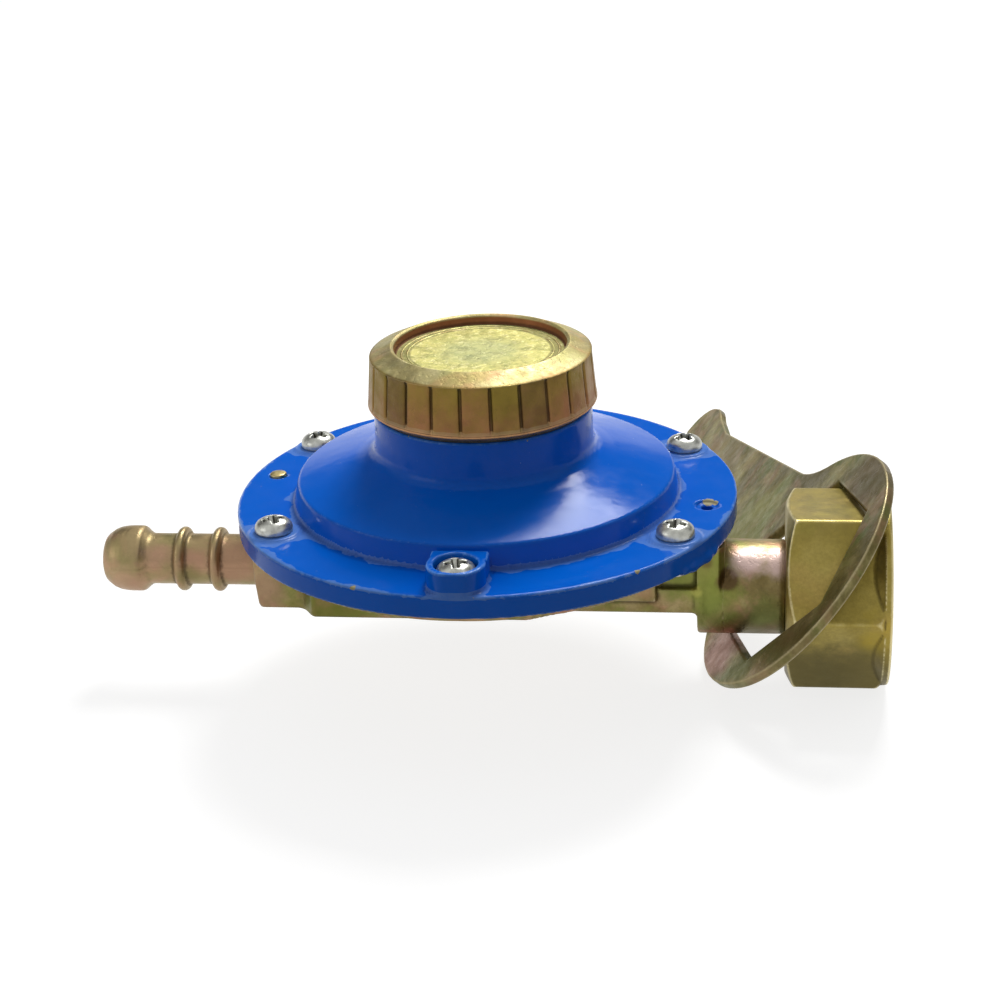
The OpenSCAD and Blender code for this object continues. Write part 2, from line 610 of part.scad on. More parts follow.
module lever_pin() color(steel) at_inlet()
    translate([-lever_arm, 0, hub_z]) rod_y(lever_pin_d / 2, lever_pin_l / 2);

module valve_plunger() color(brass) at_inlet() translate([0, 0, -valve_depth]) difference() {
    rod_x(plunger_d / 2, -plunger_left, plunger_right);
    translate([-lever_arm - hub_r - 0.6, -plunger_d, lever_short - hub_r - 0.3])
        cube([2 * hub_r + 1.4, 2 * plunger_d, plunger_d]);
    translate([-lever_arm - 0.9, -lever_w / 2 - 0.25, -1.1]) cube([1.8, lever_w + 0.5, 4]);
    rod_x(seat_disc_d / 2 + fit_gap, plunger_right - seat_disc_t + 0.25, plunger_right + 1);
}
module seat_disc() color(rubber_black) at_inlet() translate([0, 0, -valve_depth])
    rod_x(seat_disc_d / 2, plunger_right + 0.25 - seat_disc_t + fit_gap, plunger_right + 0.25);

module inlet_nozzle() color(brass) at_inlet() translate([0, 0, -valve_depth]) difference() {
    union() {
        rod_x(nozzle_d / 2, nozzle_left, nozzle_left + nozzle_l - 1 - fit_gap);
        rod_x(orifice_d / 2 + 0.6, nozzle_left - lip_h, nozzle_left + eps);
    }
    rod_x(orifice_d / 2, nozzle_left - 2, nozzle_left + nozzle_l);
}

// ---- Inlet ----

module inlet_tail() color(zinc_yellow) at_inlet() translate([0, 0, -inlet_depth]) difference() {
    union() {
        rod_x(spigot_d / 2, boss_right - spigot_l + fit_gap, boss_right + 1);
        revolve_x() polygon([[0, boss_right + face_gap], [tail_d / 2 - 0.5, boss_right + face_gap],
            [tail_d / 2, boss_right + 0.5], [tail_d / 2, collar_left], [collar_d / 2 - 0.4, collar_left],
            [collar_d / 2, collar_left + 0.4], [collar_d / 2, collar_right], [0, collar_right]]);
    }
    rod_x(tail_bore_d / 2, boss_right - 8, collar_right + 1);
    rod_x(filter_d / 2 + fit_gap, collar_right - filter_depth, collar_right + 1);
}
module inlet_filter() color(steel) at_inlet() translate([0, 0, -inlet_depth])
    rod_x(filter_d / 2, collar_right - filter_depth + fit_gap, collar_right - 0.6);
module tail_seal() color(rubber_black) at_inlet() translate([0, 0, -inlet_depth]) difference() {
    rod_x(collar_d / 2, collar_right + fit_gap, collar_right + seal_t);
    rod_x(filter_d / 2, collar_right - 1, collar_right + seal_t + 1);
}

// The union nut: chamfered hexagon, coned round collar at the mouth, shoulder and tapped bore
module union_nut() color(zinc_yellow) at_inlet() translate([0, 0, -inlet_depth]) difference() {
    corner = nut_af / cos(30) / 2;
    flat = nut_af / 2;
    cone_x = mouth_x - nut_rim_w - nut_cone_l;
    union() {
        intersection() {
            translate([nut_left, 0, 0]) rotate([nut_rest_turn, 0, 0]) rotate([0, 90, 0]) rotate([0, 0, 30])
                cylinder(r = corner, h = nut_l - 0.5, $fn = 6);
            revolve_x() polygon([[0, nut_left], [flat - 0.6, nut_left], [corner + 0.1, nut_left + 1.45],
                [corner + 0.1, cone_x + nut_cone_l * 0.55], [nut_rim_d / 2, mouth_x - nut_rim_w],
                [nut_rim_d / 2, mouth_x],
                [0, mouth_x]]);
        }
        revolve_x() polygon([[0, cone_x], [flat - 0.3, cone_x], [nut_rim_d / 2, mouth_x - nut_rim_w],
            [nut_rim_d / 2, mouth_x - 0.4], [nut_rim_d / 2 - 0.4, mouth_x], [0, mouth_x]]);
    }
    rod_x(tail_d / 2 + nut_clearance, nut_left - 1, mouth_x);
    rod_x(nut_thread_d / 2, nut_left + nut_shoulder, mouth_x + 1);
    rod_x(nut_thread_d / 2 + 0.7, nut_left + nut_shoulder, collar_right + seal_t + 0.3);
    revolve_x() polygon([[0, mouth_x - thread_entry_l], [nut_thread_d / 2, mouth_x - thread_entry_l],
        [nut_thread_d / 2 + 0.7, mouth_x + 0.1], [0, mouth_x + 0.1]]);
}

// ---- Spanner: a flat sheet, leaning on the nut with its handle lying back ----

// The handle's faces lie this far below the ring's
handle_step = 0.01;
spanner_place = [nut_left + 1.229, -1.651, 3.812 - inlet_depth];
spanner_turn = [130.15, 6.74, 102.68];

// Half width of the handle at a distance from the hexagon's centre
function handle_w(s) = handle_root_w + (handle_neck_w - handle_root_w) * (s - 20) / (handle_neck_l - 20);

// The handle's upper edge from inside the ring: a fillet of radius f, then the taper to the neck
function handle_edge(f) =
    let (
        ring_r = spanner_ring_d / 2,
        a = atan((handle_root_w - handle_neck_w) / (handle_neck_l - 20)),
        d = handle_w(hexagon_offset) * cos(a) + f,
        s = sqrt(pow(ring_r + f, 2) - d * d),
        cx = d * sin(a) + s * cos(a),
        cy = d * cos(a) - s * sin(a),
        k = (ring_r - 0.3) / (ring_r + f),
        bend = arc(cx, cy, f, 180 + atan2(cy, cx), 270 - a, 12)
    )
    concat([[cx * k, cy * k]], [for (i = [1 : 12]) bend[i]],
        [[handle_neck_l - hexagon_offset, handle_neck_w],
         [handle_l - hexagon_offset, handle_end_d / 2 - 0.15]]);

module handle_outline() {
    upper = handle_edge(root_fillet_r);
    last = len(upper) - 1;
    translate([hexagon_offset, 0])
        polygon(concat([[0, 0]], upper, [for (i = [0 : last]) [upper[last - i][0], -upper[last - i][1]]]));
    translate([handle_l, 0]) circle(d = handle_end_d);
}
module spanner() color(zinc_yellow) at_inlet() translate(spanner_place) rotate(spanner_turn) difference() {
    union() {
        linear_extrude(spanner_t) translate([hexagon_offset, 0]) circle(d = spanner_ring_d);
        translate([0, 0, handle_step]) linear_extrude(spanner_t - 2 * handle_step) handle_outline();
    }
    translate([0, 0, -1]) rotate([0, 0, hexagon_turn])
        cylinder(d = spanner_af / cos(30), h = spanner_t + 2, $fn = 6);
}

lower_body();
bonnet();
locating_pin();
cover_screws();
diaphragm();
upper_diaphragm_plate();
lower_diaphragm_plate();
diaphragm_stem();
stem_nut();
main_spring();
spring_seat();
adjusting_screw();
bonnet_cap();
cap_gasket();
lever();
lever_pin();
valve_plunger();
seat_disc();
inlet_nozzle();
inlet_tail();
inlet_filter();
tail_seal();
union_nut();
spanner();
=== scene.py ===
"""Looks of a low-pressure gas regulator: painted bonnet, plated castings, union nut and spanner."""

import logging
import math
from collections.abc import Callable, Sequence
from dataclasses import dataclass, field
from enum import Enum

import bpy
import numpy as np
from mathutils import Matrix, Vector


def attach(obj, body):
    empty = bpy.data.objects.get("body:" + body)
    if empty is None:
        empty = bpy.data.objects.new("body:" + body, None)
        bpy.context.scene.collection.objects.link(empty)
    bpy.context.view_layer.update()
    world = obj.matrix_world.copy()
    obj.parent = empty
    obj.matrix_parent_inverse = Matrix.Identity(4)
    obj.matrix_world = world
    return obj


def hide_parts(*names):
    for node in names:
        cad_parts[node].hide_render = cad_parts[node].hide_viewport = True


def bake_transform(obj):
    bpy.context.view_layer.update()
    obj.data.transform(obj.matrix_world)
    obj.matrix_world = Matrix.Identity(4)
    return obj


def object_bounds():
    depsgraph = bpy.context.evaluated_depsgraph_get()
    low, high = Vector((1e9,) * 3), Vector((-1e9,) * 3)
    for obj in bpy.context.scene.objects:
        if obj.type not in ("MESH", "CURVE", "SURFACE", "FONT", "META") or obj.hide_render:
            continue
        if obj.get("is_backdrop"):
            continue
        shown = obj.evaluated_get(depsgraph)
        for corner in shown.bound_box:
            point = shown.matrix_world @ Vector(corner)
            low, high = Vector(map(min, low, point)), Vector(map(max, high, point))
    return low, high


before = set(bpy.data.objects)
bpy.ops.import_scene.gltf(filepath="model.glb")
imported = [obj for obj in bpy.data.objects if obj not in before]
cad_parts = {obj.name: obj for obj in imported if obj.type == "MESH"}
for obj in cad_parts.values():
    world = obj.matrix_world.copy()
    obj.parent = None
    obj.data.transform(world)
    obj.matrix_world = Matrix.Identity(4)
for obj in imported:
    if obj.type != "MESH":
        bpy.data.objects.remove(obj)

LOG = logging.getLogger("regulator")

MM = 0.001
# The diaphragm axis, at the top of the flange, seen from the origin of the frame, in mm
HEART = np.array([-59.85, 0.0, 15.6])
# Point values that the finishes read: how sharp an edge is, and how far the thick paint is, where the enamel paints a
# lighter reflection
RIDGE = "ridge"
THICK_PAINT_SHEEN = "pool"
# Seats round the flange, shared by both castings, the screws and the pin, in mm and degrees
SCREW_COUNT = 6
SCREW_RING = 33.85
PIN_TURN = 171.4
VENT_TURN = 75
# Height of the cap's lower rim in mm, its ribs, and where they start
CAP_LOW = 14.28
CAP_RIBS = 24
CAP_PHASE = math.radians(-93.4)
# The inlet's axis below the top of the flange, in mm
INLET_Z = -15.6
TINY = 1e-6
# The ways that the flats of a hexagon face
HEXAGON = tuple((math.cos(math.radians(t)), math.sin(math.radians(t))) for t in (30, 90, 150))

Field = Callable[[np.ndarray], np.ndarray]
Outline = list[tuple[float, float]]
Colour = tuple[float, float, float]
Socket = bpy.types.NodeSocket


def in_frame(spot: Sequence[float]) -> tuple[float, ...]:
    """A spot about the diaphragm axis, in mm, as metres in the shared frame."""
    return tuple((np.array(spot) + HEART) * MM)


def polar(r: float, degrees: float) -> tuple[float, float]:
    """The point at a radius and an angle."""
    t = math.radians(degrees)
    return r * math.cos(t), r * math.sin(t)


def screw_spot(i: int) -> tuple[float, float]:
    """The centre of a cover screw, seen from the diaphragm axis."""
    return polar(SCREW_RING, 360 / SCREW_COUNT * i - 90)


def once_round(steps: int) -> np.ndarray:
    """Even angles once round, in radians."""
    return np.linspace(0, 2 * math.pi, steps + 1)[:-1]


def into_scene(name: str, data: bpy.types.ID) -> bpy.types.Object:
    """An object with this data, put into the scene."""
    made = bpy.data.objects.new(name, data)
    bpy.context.scene.collection.objects.link(made)
    return made


# ---------------------------------------------------------------- Shapes as distance fields


def arc(cx: float, cy: float, r: float, a0: float, a1: float, steps: int = 6) -> Outline:
    """Points on an arc.

    Args:
        cx, cy: centre.
        r: radius.
        a0, a1: first and last angle, in degrees.
        steps: number of chords.
    Returns:
        The points, ends included.
    """
    turns = [math.radians(a0 + (a1 - a0) * i / steps) for i in range(steps + 1)]
    return [(cx + r * math.cos(t), cy + r * math.sin(t)) for t in turns]


def rounded(corners: Sequence[tuple[float, ...]], steps: int = 5) -> Outline:
    """Rounds the corners of a closed outline.

    Args:
        corners: (x, y) or (x, y, radius) for each corner.
        steps: number of chords in each rounding.
    Returns:
        The outline with its corners turned into arcs.
    """
    made: Outline = []
    count = len(corners)
    for i, corner in enumerate(corners):
        here = Vector(corner[:2])
        radius = corner[2] if len(corner) > 2 else 0.0
        back = Vector(corners[i - 1][:2]) - here
        ahead = Vector(corners[(i + 1) % count][:2]) - here
        if radius <= 0 or back.length < TINY or ahead.length < TINY:
            made.append((here.x, here.y))
            continue
        a, b = back.normalized(), ahead.normalized()
        half = math.acos(max(-1.0, min(1.0, a.dot(b)))) / 2
        if half > math.radians(89.5):
            made.append((here.x, here.y))
            continue
        run = min(radius / math.tan(half), 0.49 * back.length, 0.49 * ahead.length)
        radius = run * math.tan(half)
        centre = here + (a + b).normalized() * (radius / math.sin(half))
        start, end = here + a * run - centre, here + b * run - centre
        t0 = math.atan2(start.y, start.x)
        turn = math.atan2(end.y, end.x) - t0
        turn = (turn + math.pi) % (2 * math.pi) - math.pi
        for k in range(steps + 1):
            t = t0 + turn * k / steps
            made.append((centre.x + radius * math.cos(t), centre.y + radius * math.sin(t)))
    return made


def outline_distance(x: np.ndarray, y: np.ndarray, outline: Outline) -> np.ndarray:
    """Signed distance to a closed outline, negative inside.

    Args:
        x, y: the points.
        outline: the outline's corners.
    Returns:
        The distances.
    """
    best = np.full(x.shape, 1e18)
    inside = np.zeros(x.shape, bool)
    for (ax, ay), (bx, by) in zip(outline, outline[1:] + outline[:1]):
        ex, ey = bx - ax, by - ay
        size = ex * ex + ey * ey
        if size < 1e-14:
            continue
        wx, wy = x - ax, y - ay
        t = np.clip((wx * ex + wy * ey) / size, 0, 1)
        np.minimum(best, (wx - ex * t) ** 2 + (wy - ey * t) ** 2, out=best)
        if ey:
            crosses = (ay > y) != (by > y)
            inside ^= crosses & (x < ax + wy * (ex / ey))
    return np.where(inside, -1.0, 1.0) * np.sqrt(best)


def sheet(flat: np.ndarray, across: np.ndarray, r: float) -> np.ndarray:
    """Joins a flat outline's distance and the distance past its two faces, with an edge rounding."""
    u, v = flat + r, across + r
    return np.minimum(np.maximum(u, v), 0) + np.hypot(np.maximum(u, 0), np.maximum(v, 0)) - r


def other_axes(axis: int) -> list[int]:
    """The two axes besides one, in order."""
    return [a for a in range(3) if a != axis]


def past_ends(place: np.ndarray, low: float, high: float) -> np.ndarray:
    """How far places lie past two ends, below 0 between them."""
    return np.abs(place - (low + high) / 2) - (high - low) / 2


def radius_about(p: np.ndarray, axis: int, centre: Sequence[float]) -> np.ndarray:
    """How far points lie from a line that runs along an axis."""
    i, j = other_axes(axis)
    return np.hypot(p[:, i] - centre[i], p[:, j] - centre[j])


def prism(outline: Outline, axis: int, low: float, high: float, r: float = 0.0) -> Field:
    """A straight prism.

    Args:
        outline: its section; the coordinates are the other two axes in the order x, y, z.
        axis: the axis that it runs along.
        low, high: its two ends.
        r: rounding of the edges round its ends.
    Returns:
        The field.
    """
    i, j = other_axes(axis)

    def distance(p: np.ndarray) -> np.ndarray:
        return sheet(outline_distance(p[:, i], p[:, j], outline), past_ends(p[:, axis], low, high), r)

    return distance


def block(low: Sequence[float], high: Sequence[float], r: float = 0.3) -> Field:
    """A box with rounded edges between two corners."""
    centre = (np.array(low, float) + np.array(high, float)) / 2
    half = (np.array(high, float) - np.array(low, float)) / 2 - r

    def distance(p: np.ndarray) -> np.ndarray:
        q = np.abs(p - centre) - half
        return np.minimum(q.max(1), 0) + np.linalg.norm(np.maximum(q, 0), axis=1) - r

    return distance


def rod(axis: int, centre: Sequence[float], radius: float, low: float, high: float, r: float = 0.0) -> Field:
    """A cylinder along an axis.

    Args:
        axis: the axis that it runs along.
        centre: a point on it.
        radius: its radius.
        low, high: its two ends.
        r: rounding of its rims.
    Returns:
        The field.
    """
    return lambda p: sheet(radius_about(p, axis, centre) - radius, past_ends(p[:, axis], low, high), r)


def turned(profile: Outline, axis: int, centre: Sequence[float] = (0, 0, 0)) -> Field:
    """A turned shape.

    Args:
        profile: (radius, place along the axis) for each corner of its half section.
        axis: the axis that it is turned about.
        centre: a point on that axis.
    Returns:
        The field.
    """
    return lambda p: outline_distance(radius_about(p, axis, centre), p[:, axis], profile)


def soft_min(a: np.ndarray, b: np.ndarray, k: float) -> np.ndarray:
    """The lesser of two distances, blended over k."""
    if k <= 0:
        return np.minimum(a, b)
    h = np.maximum(k - np.abs(a - b), 0) / k
    return np.minimum(a, b) - h * h * k / 4


def joined(k: float, *parts: Field) -> Field:
    """Parts grown together with fillets of about k."""

    def distance(p: np.ndarray) -> np.ndarray:
        made = parts[0](p)
        for part in parts[1:]:
            made = soft_min(made, part(p), k)
        return made

    return distance


def inverted(part: Field) -> Field:
    """The space outside a part."""
    return lambda p: -part(p)


def shared(k: float, *parts: Field) -> Field:
    """The space that all parts share, with edges rounded by about k."""
    return inverted(joined(k, *map(inverted, parts)))


def without(k: float, solid: Field, *tools: Field) -> Field:
    """A solid less its tools, with edges rounded by about k."""
    return inverted(joined(k, inverted(solid), *tools))


# ---------------------------------------------------------------- Meshes


@dataclass
class Skin:
    """A surface: points in mm, faces as corner lists and a normal for each point."""

    points: np.ndarray
    faces: list[list[int]]
    normals: np.ndarray


def slope(solid: Field, p: np.ndarray, h: float) -> np.ndarray:
    """The gradient of a field at points, from four samples a step h away."""
    total = np.zeros_like(p)
    for s in ((1, -1, -1), (-1, -1, 1), (-1, 1, -1), (1, 1, 1)):
        d = np.array(s, float)
        total += d * solid(p + d * h)[:, None]
    return total / (4 * h)


class Caster:
    """Turns a distance field into a skin of even quads that lie on its surface."""

    # Cells along a block, blocks and points that are worked out at once, and the margin in quads
    BLOCK = 6
    BLOCKS_AT_ONCE = 1500
    POINTS_AT_ONCE = 200000
    MARGIN = 2.37

    def __init__(self, solid: Field, low: Sequence[float], high: Sequence[float], pitch: float) -> None:
        """Keeps the field, the box to search and the size of a quad."""
        self.solid = solid
        self.low = np.array(low, float) - self.MARGIN * pitch
        self.high = np.array(high, float) + self.MARGIN * pitch
        self.pitch = pitch

    def _grid(self) -> np.ndarray:
        """The field on a regular grid, worked out only near the surface."""
        size = self.BLOCK
        blocks = np.ceil((self.high - self.low) / self.pitch / size).astype(int)
        index = np.stack(np.meshgrid(*[np.arange(n) for n in blocks], indexing="ij"), -1).reshape(-1, 3)
        centres = self.low + (index * size + (size - 1) / 2) * self.pitch
        batches = np.array_split(centres, max(1, len(centres) // self.POINTS_AT_ONCE))
        middle = np.concatenate([self.solid(c) for c in batches])
        values = np.repeat(np.repeat(np.repeat(
            np.sign(middle).reshape(blocks).astype(np.float32), size, 0), size, 1), size, 2)
        near = index[np.abs(middle) < self.pitch * (size * 0.9 + 1.0)]
        steps = np.stack(np.meshgrid(*[np.arange(size)] * 3, indexing="ij"), -1).reshape(-1, 3)
        for part in np.array_split(near, max(1, len(near) // self.BLOCKS_AT_ONCE)):
            where = (part[:, None, :] * size + steps[None]).reshape(-1, 3)
            values[tuple(where.T)] = self.solid(self.low + where * self.pitch)
        return values

    def _net(self, values: np.ndarray) -> tuple[np.ndarray, np.ndarray]:
        """One point in each cell that the surface crosses and one quad across each crossed edge."""
        inside = values < 0
        strides = np.array([values.shape[1] * values.shape[2], values.shape[2], 1])
        cells, spots, quads = [], [], []
        for axis in range(3):
            first = inside[tuple(slice(0, -1) if a == axis else slice(None) for a in range(3))]
            last = inside[tuple(slice(1, None) if a == axis else slice(None) for a in range(3))]
            edge = np.argwhere(first != last)
            ahead = edge.copy()
            ahead[:, axis] += 1
            v0, v1 = values[tuple(edge.T)], values[tuple(ahead.T)]
            spot = edge.astype(float)
            spot[:, axis] += v0 / (v0 - v1)
            b, c = (axis + 1) % 3, (axis + 2) % 3
            around = []
            for db, dc in ((0, 0), (-1, 0), (-1, -1), (0, -1)):
                cell = edge.copy()
                cell[:, b] += db
                cell[:, c] += dc
                around.append(cell @ strides)
            corner = np.stack(around, 1)
            leaving = inside[tuple(edge.T)]
            quads.append(np.where(leaving[:, None], corner, corner[:, ::-1]))
            cells.append(corner.ravel())
            spots.append(np.repeat(spot, 4, 0))
        names, back = np.unique(np.concatenate(cells), return_inverse=True)
        spots = np.concatenate(spots)
        count = np.bincount(back, minlength=len(names))
        points = np.stack([np.bincount(back, spots[:, a], len(names)) / count for a in range(3)], 1)
        faces = np.searchsorted(names, np.concatenate(quads))
        return self.low + points * self.pitch, faces

    def skin(self) -> Skin:
        """The surface, its points moved onto the field's zero level."""
        points, faces = self._net(self._grid())
        for _ in range(3):
            off = self.solid(points)
            way = slope(self.solid, points, 0.2 * self.pitch)
            step = way * (off / np.maximum((way**2).sum(1), 0.3))[:, None]
            reach = np.linalg.norm(step, axis=1, keepdims=True)
            points = points - step * np.minimum(1, 0.4 * self.pitch / np.maximum(reach, 1e-9))
        normals = slope(self.solid, points, 0.22 * self.pitch)
        normals /= np.maximum(np.linalg.norm(normals, axis=1, keepdims=True), 1e-9)
        return Skin(points, faces.tolist(), normals)


def mark(mesh: bpy.types.Mesh, name: str, values: np.ndarray) -> None:
    """Stores a value for each point of a mesh."""
    attribute = mesh.attributes.new(name, "FLOAT", "POINT")
    attribute.data.foreach_set("value", values.astype(np.float32))


def ridge_of(mesh: bpy.types.Mesh, normals: np.ndarray) -> None:
    """Stores how sharply each point stands out: above 0 on outer edges, below 0 in corners, in 1/mm."""
    count = len(mesh.vertices)
    points = np.empty(count * 3)
    mesh.vertices.foreach_get("co", points)
    points = points.reshape(-1, 3) / MM
    edges = np.empty(len(mesh.edges) * 2, int)
    mesh.edges.foreach_get("vertices", edges)
    a, b = edges.reshape(-1, 2).T
    along = points[b] - points[a]
    bend = ((normals[b] - normals[a]) * along).sum(1) / np.maximum((along**2).sum(1), 1e-6)
    total = np.bincount(a, bend, count) + np.bincount(b, bend, count)
    shares = np.bincount(a, minlength=count) + np.bincount(b, minlength=count)
    mark(mesh, RIDGE, total / np.maximum(shares, 1))


def piece_from(name: str, skin: Skin,
               placed: Callable[[np.ndarray, bool], np.ndarray] | None = None) -> bpy.types.Object:
    """Makes an object from a skin.

    Args:
        name: the piece's name.
        skin: its surface, in mm.
        placed: turns points (or, with True, directions) into the frame of the diaphragm axis.
    Returns:
        The object, in metres, in the frame of the CAD model.
    """
    points, normals = skin.points, skin.normals
    if placed:
        points, normals = placed(points, False), placed(normals, True)
    points = (points + HEART) * MM
    mesh = bpy.data.meshes.new(name)
    mesh.from_pydata(points, [], skin.faces)
    mesh.update()
    ridge_of(mesh, normals)
    mesh.polygons.foreach_set("use_smooth", [True] * len(mesh.polygons))
    mesh.normals_split_custom_set_from_vertices(normals)
    return into_scene(name, mesh)


def lathe(profile: Outline, angles: np.ndarray) -> Skin:
    """Turns a profile about Z.

    Args:
        profile: (radius, height) for each point of a closed half section, in order up the outside.
        angles: the angles of its columns, in radians.
    Returns:
        The skin; a point on the axis becomes one pole.
    """
    section = np.array(profile, float)
    rings, columns = len(section), len(angles)
    ahead, behind = np.roll(section, -1, 0) - section, section - np.roll(section, 1, 0)
    tangent = ahead / np.maximum(np.linalg.norm(ahead, axis=1, keepdims=True), 1e-9)
    tangent += behind / np.maximum(np.linalg.norm(behind, axis=1, keepdims=True), 1e-9)
    tangent /= np.maximum(np.linalg.norm(tangent, axis=1, keepdims=True), 1e-9)
    points, normals, ids = [], [], np.zeros((rings, columns), int)
    for i, (r, z) in enumerate(section):
        out, up = tangent[i][1], -tangent[i][0]
        if r < TINY:
            ids[i] = len(points)
            points.append((0, 0, z))
            normals.append((0, 0, math.copysign(1, up)))
            continue
        for j, t in enumerate(angles):
            ids[i, j] = len(points)
            points.append((r * math.cos(t), r * math.sin(t), z))
            normals.append((out * math.cos(t), out * math.sin(t), up))
    faces = []
    for i in range(rings):
        k = (i + 1) % rings
        for j in range(columns):
            m = (j + 1) % columns
            corner = [int(c) for c in (ids[i, j], ids[i, m], ids[k, m], ids[k, j])]
            corner = [c for n, c in enumerate(corner) if c != corner[n - 1]]
            if len(corner) > 2:
                faces.append(corner)
    return Skin(np.array(points, float), faces, np.array(normals, float))


# ---------------------------------------------------------------- Node trees


def srgb(r: int, g: int, b: int) -> Colour:
    """An 8-bit display colour as linear values."""
    return tuple(c / 12.92 if c <= 0.04045 else ((c + 0.055) / 1.055) ** 2.4 for c in (r / 255, g / 255, b / 255))


class Board:
    """A short hand for building a node tree."""

    def __init__(self, tree: bpy.types.NodeTree) -> None:
        """Keeps the tree."""
        self.tree = tree

    def feed(self, node: bpy.types.Node, values: dict) -> None:
        """Fills a node's inputs, by name or number, with values or with other nodes' outputs."""
        for key, value in values.items():
            socket = node.inputs[key]
            if isinstance(value, Socket):
                self.tree.links.new(value, socket)
            elif isinstance(value, tuple) and socket.type == "RGBA" and len(value) == 3:
                socket.default_value = (*value, 1.0)
            else:
                socket.default_value = value

    def put(self, kind: str, values: dict | None = None, **settings: object) -> bpy.types.Node:
        """Adds a node.

        Args:
            kind: the node's type.
            values: what goes into its inputs, by name or number: a value or another node's output.
            settings: the node's own properties.
        Returns:
            The node.
        """
        node = self.tree.nodes.new(kind)
        for key, value in settings.items():
            setattr(node, key, value)
        self.feed(node, values or {})
        return node

    def math(self, operation: str, *values: object) -> Socket:
        """The result of a maths node."""
        return self.put("ShaderNodeMath", dict(enumerate(values)), operation=operation).outputs[0]

    def plus(self, a: object, b: object) -> Socket:
        """A sum."""
        return self.math("ADD", a, b)

    def less(self, a: object, b: object) -> Socket:
        """A difference."""
        return self.math("SUBTRACT", a, b)

    def times(self, a: object, b: object) -> Socket:
        """A product."""
        return self.math("MULTIPLY", a, b)

    def hypot(self, x: object, y: object) -> Socket:
        """The length of (x, y)."""
        return self.math("SQRT", self.plus(self.times(x, x), self.times(y, y)))

    def vector(self, operation: str, *values: object) -> Socket:
        """The result of a vector maths node."""
        return self.put("ShaderNodeVectorMath", dict(enumerate(values)), operation=operation).outputs[0]

    def scaled(self, vector: object, factor: object) -> Socket:
        """A vector times a number."""
        return self.put("ShaderNodeVectorMath", {0: vector, "Scale": factor}, operation="SCALE").outputs[0]

    def group(self, tree: bpy.types.NodeTree, values: dict) -> bpy.types.bpy_prop_collection:
        """The outputs of a node group with these inputs."""
        return self.put("ShaderNodeGroup", values, node_tree=tree).outputs

    def point_value(self, name: str) -> Socket:
        """A value that the mesh holds for each point."""
        return self.put("ShaderNodeAttribute", attribute_name=name).outputs["Fac"]

    def noise(self, vector: object, scale: object, detail: float = 3, rough: float = 0.55, warp: float = 0) -> Socket:
        """A noise value from 0 to 1; the scale counts patches in a metre."""
        node = self.put("ShaderNodeTexNoise", {
            "Vector": vector, "Scale": scale, "Detail": detail, "Roughness": rough, "Distortion": warp})
        return node.outputs["Fac"]

    def ramp(self, value: object, low: object, high: object, to_low: float = 0, to_high: float = 1,
             kind: str = "SMOOTHSTEP") -> Socket:
        """A value stretched from one range to another, held at its ends."""
        node = self.put("ShaderNodeMapRange", {
            "Value": value, "From Min": low, "From Max": high, "To Min": to_low, "To Max": to_high},
            interpolation_type=kind)
        return node.outputs[0]

    def ragged(self, value: object, noise: object, swing: float) -> Socket:
        """A value shaken by a noise; the swing is the most that it can move in all."""
        return self.plus(value, self.times(self.less(noise, 0.5), swing))

    def blot(self, place: object, spot: Sequence[float], radius: float, soft: float, share: float,
             noise: object, swing: float) -> Socket:
        """The mask of a round patch with a ragged border.

        Args:
            place: the object coordinates.
            spot: the patch's centre about the diaphragm axis, in mm.
            radius: its radius, in mm.
            soft: the width of its border, as a share of the radius.
            share: the mask's value inside.
            noise: what shakes the border.
            swing: how far, in mm.
        Returns:
            The mask.
        """
        reach = self.put("ShaderNodeVectorMath", {0: place, 1: in_frame(spot)}, operation="DISTANCE").outputs["Value"]
        edge = self.ragged(reach, noise, swing * MM)
        return self.ramp(edge, radius * MM * (1 - soft), radius * MM * (1 + soft), share, 0.0)

    def mix(self, share: object, a: object, b: object) -> Socket:
        """Two colours mixed."""
        return self.put("ShaderNodeMix", {0: share, 6: a, 7: b}, data_type="RGBA").outputs[2]


def new_group(name: str, kind: str, inputs: dict[str, object], outputs: Sequence[str]) -> tuple:
    """Starts a node group.

    Args:
        name: its name.
        kind: the type of its tree.
        inputs: a default for each named input: a number, a colour, or only the kind of socket.
        outputs: "name: kind of socket" for each output.
    Returns:
        Its board, the sockets of what comes in and the node that takes the results.
    """
    tree = bpy.data.node_groups.new(name, kind)
    for label, default in inputs.items():
        what = default if isinstance(default, str) else "Color" if isinstance(default, tuple) else "Float"
        socket = tree.interface.new_socket(label, in_out="INPUT", socket_type="NodeSocket" + what)
        if what == "Color":
            socket.default_value = (*default, 1)
        elif what == "Float" and default != what:
            socket.default_value = default
    for output in outputs:
        label, what = output.split(": ")
        tree.interface.new_socket(label, in_out="OUTPUT", socket_type="NodeSocket" + what)
    start, end = tree.nodes.new("NodeGroupInput"), tree.nodes.new("NodeGroupOutput")
    return Board(tree), start.outputs, end


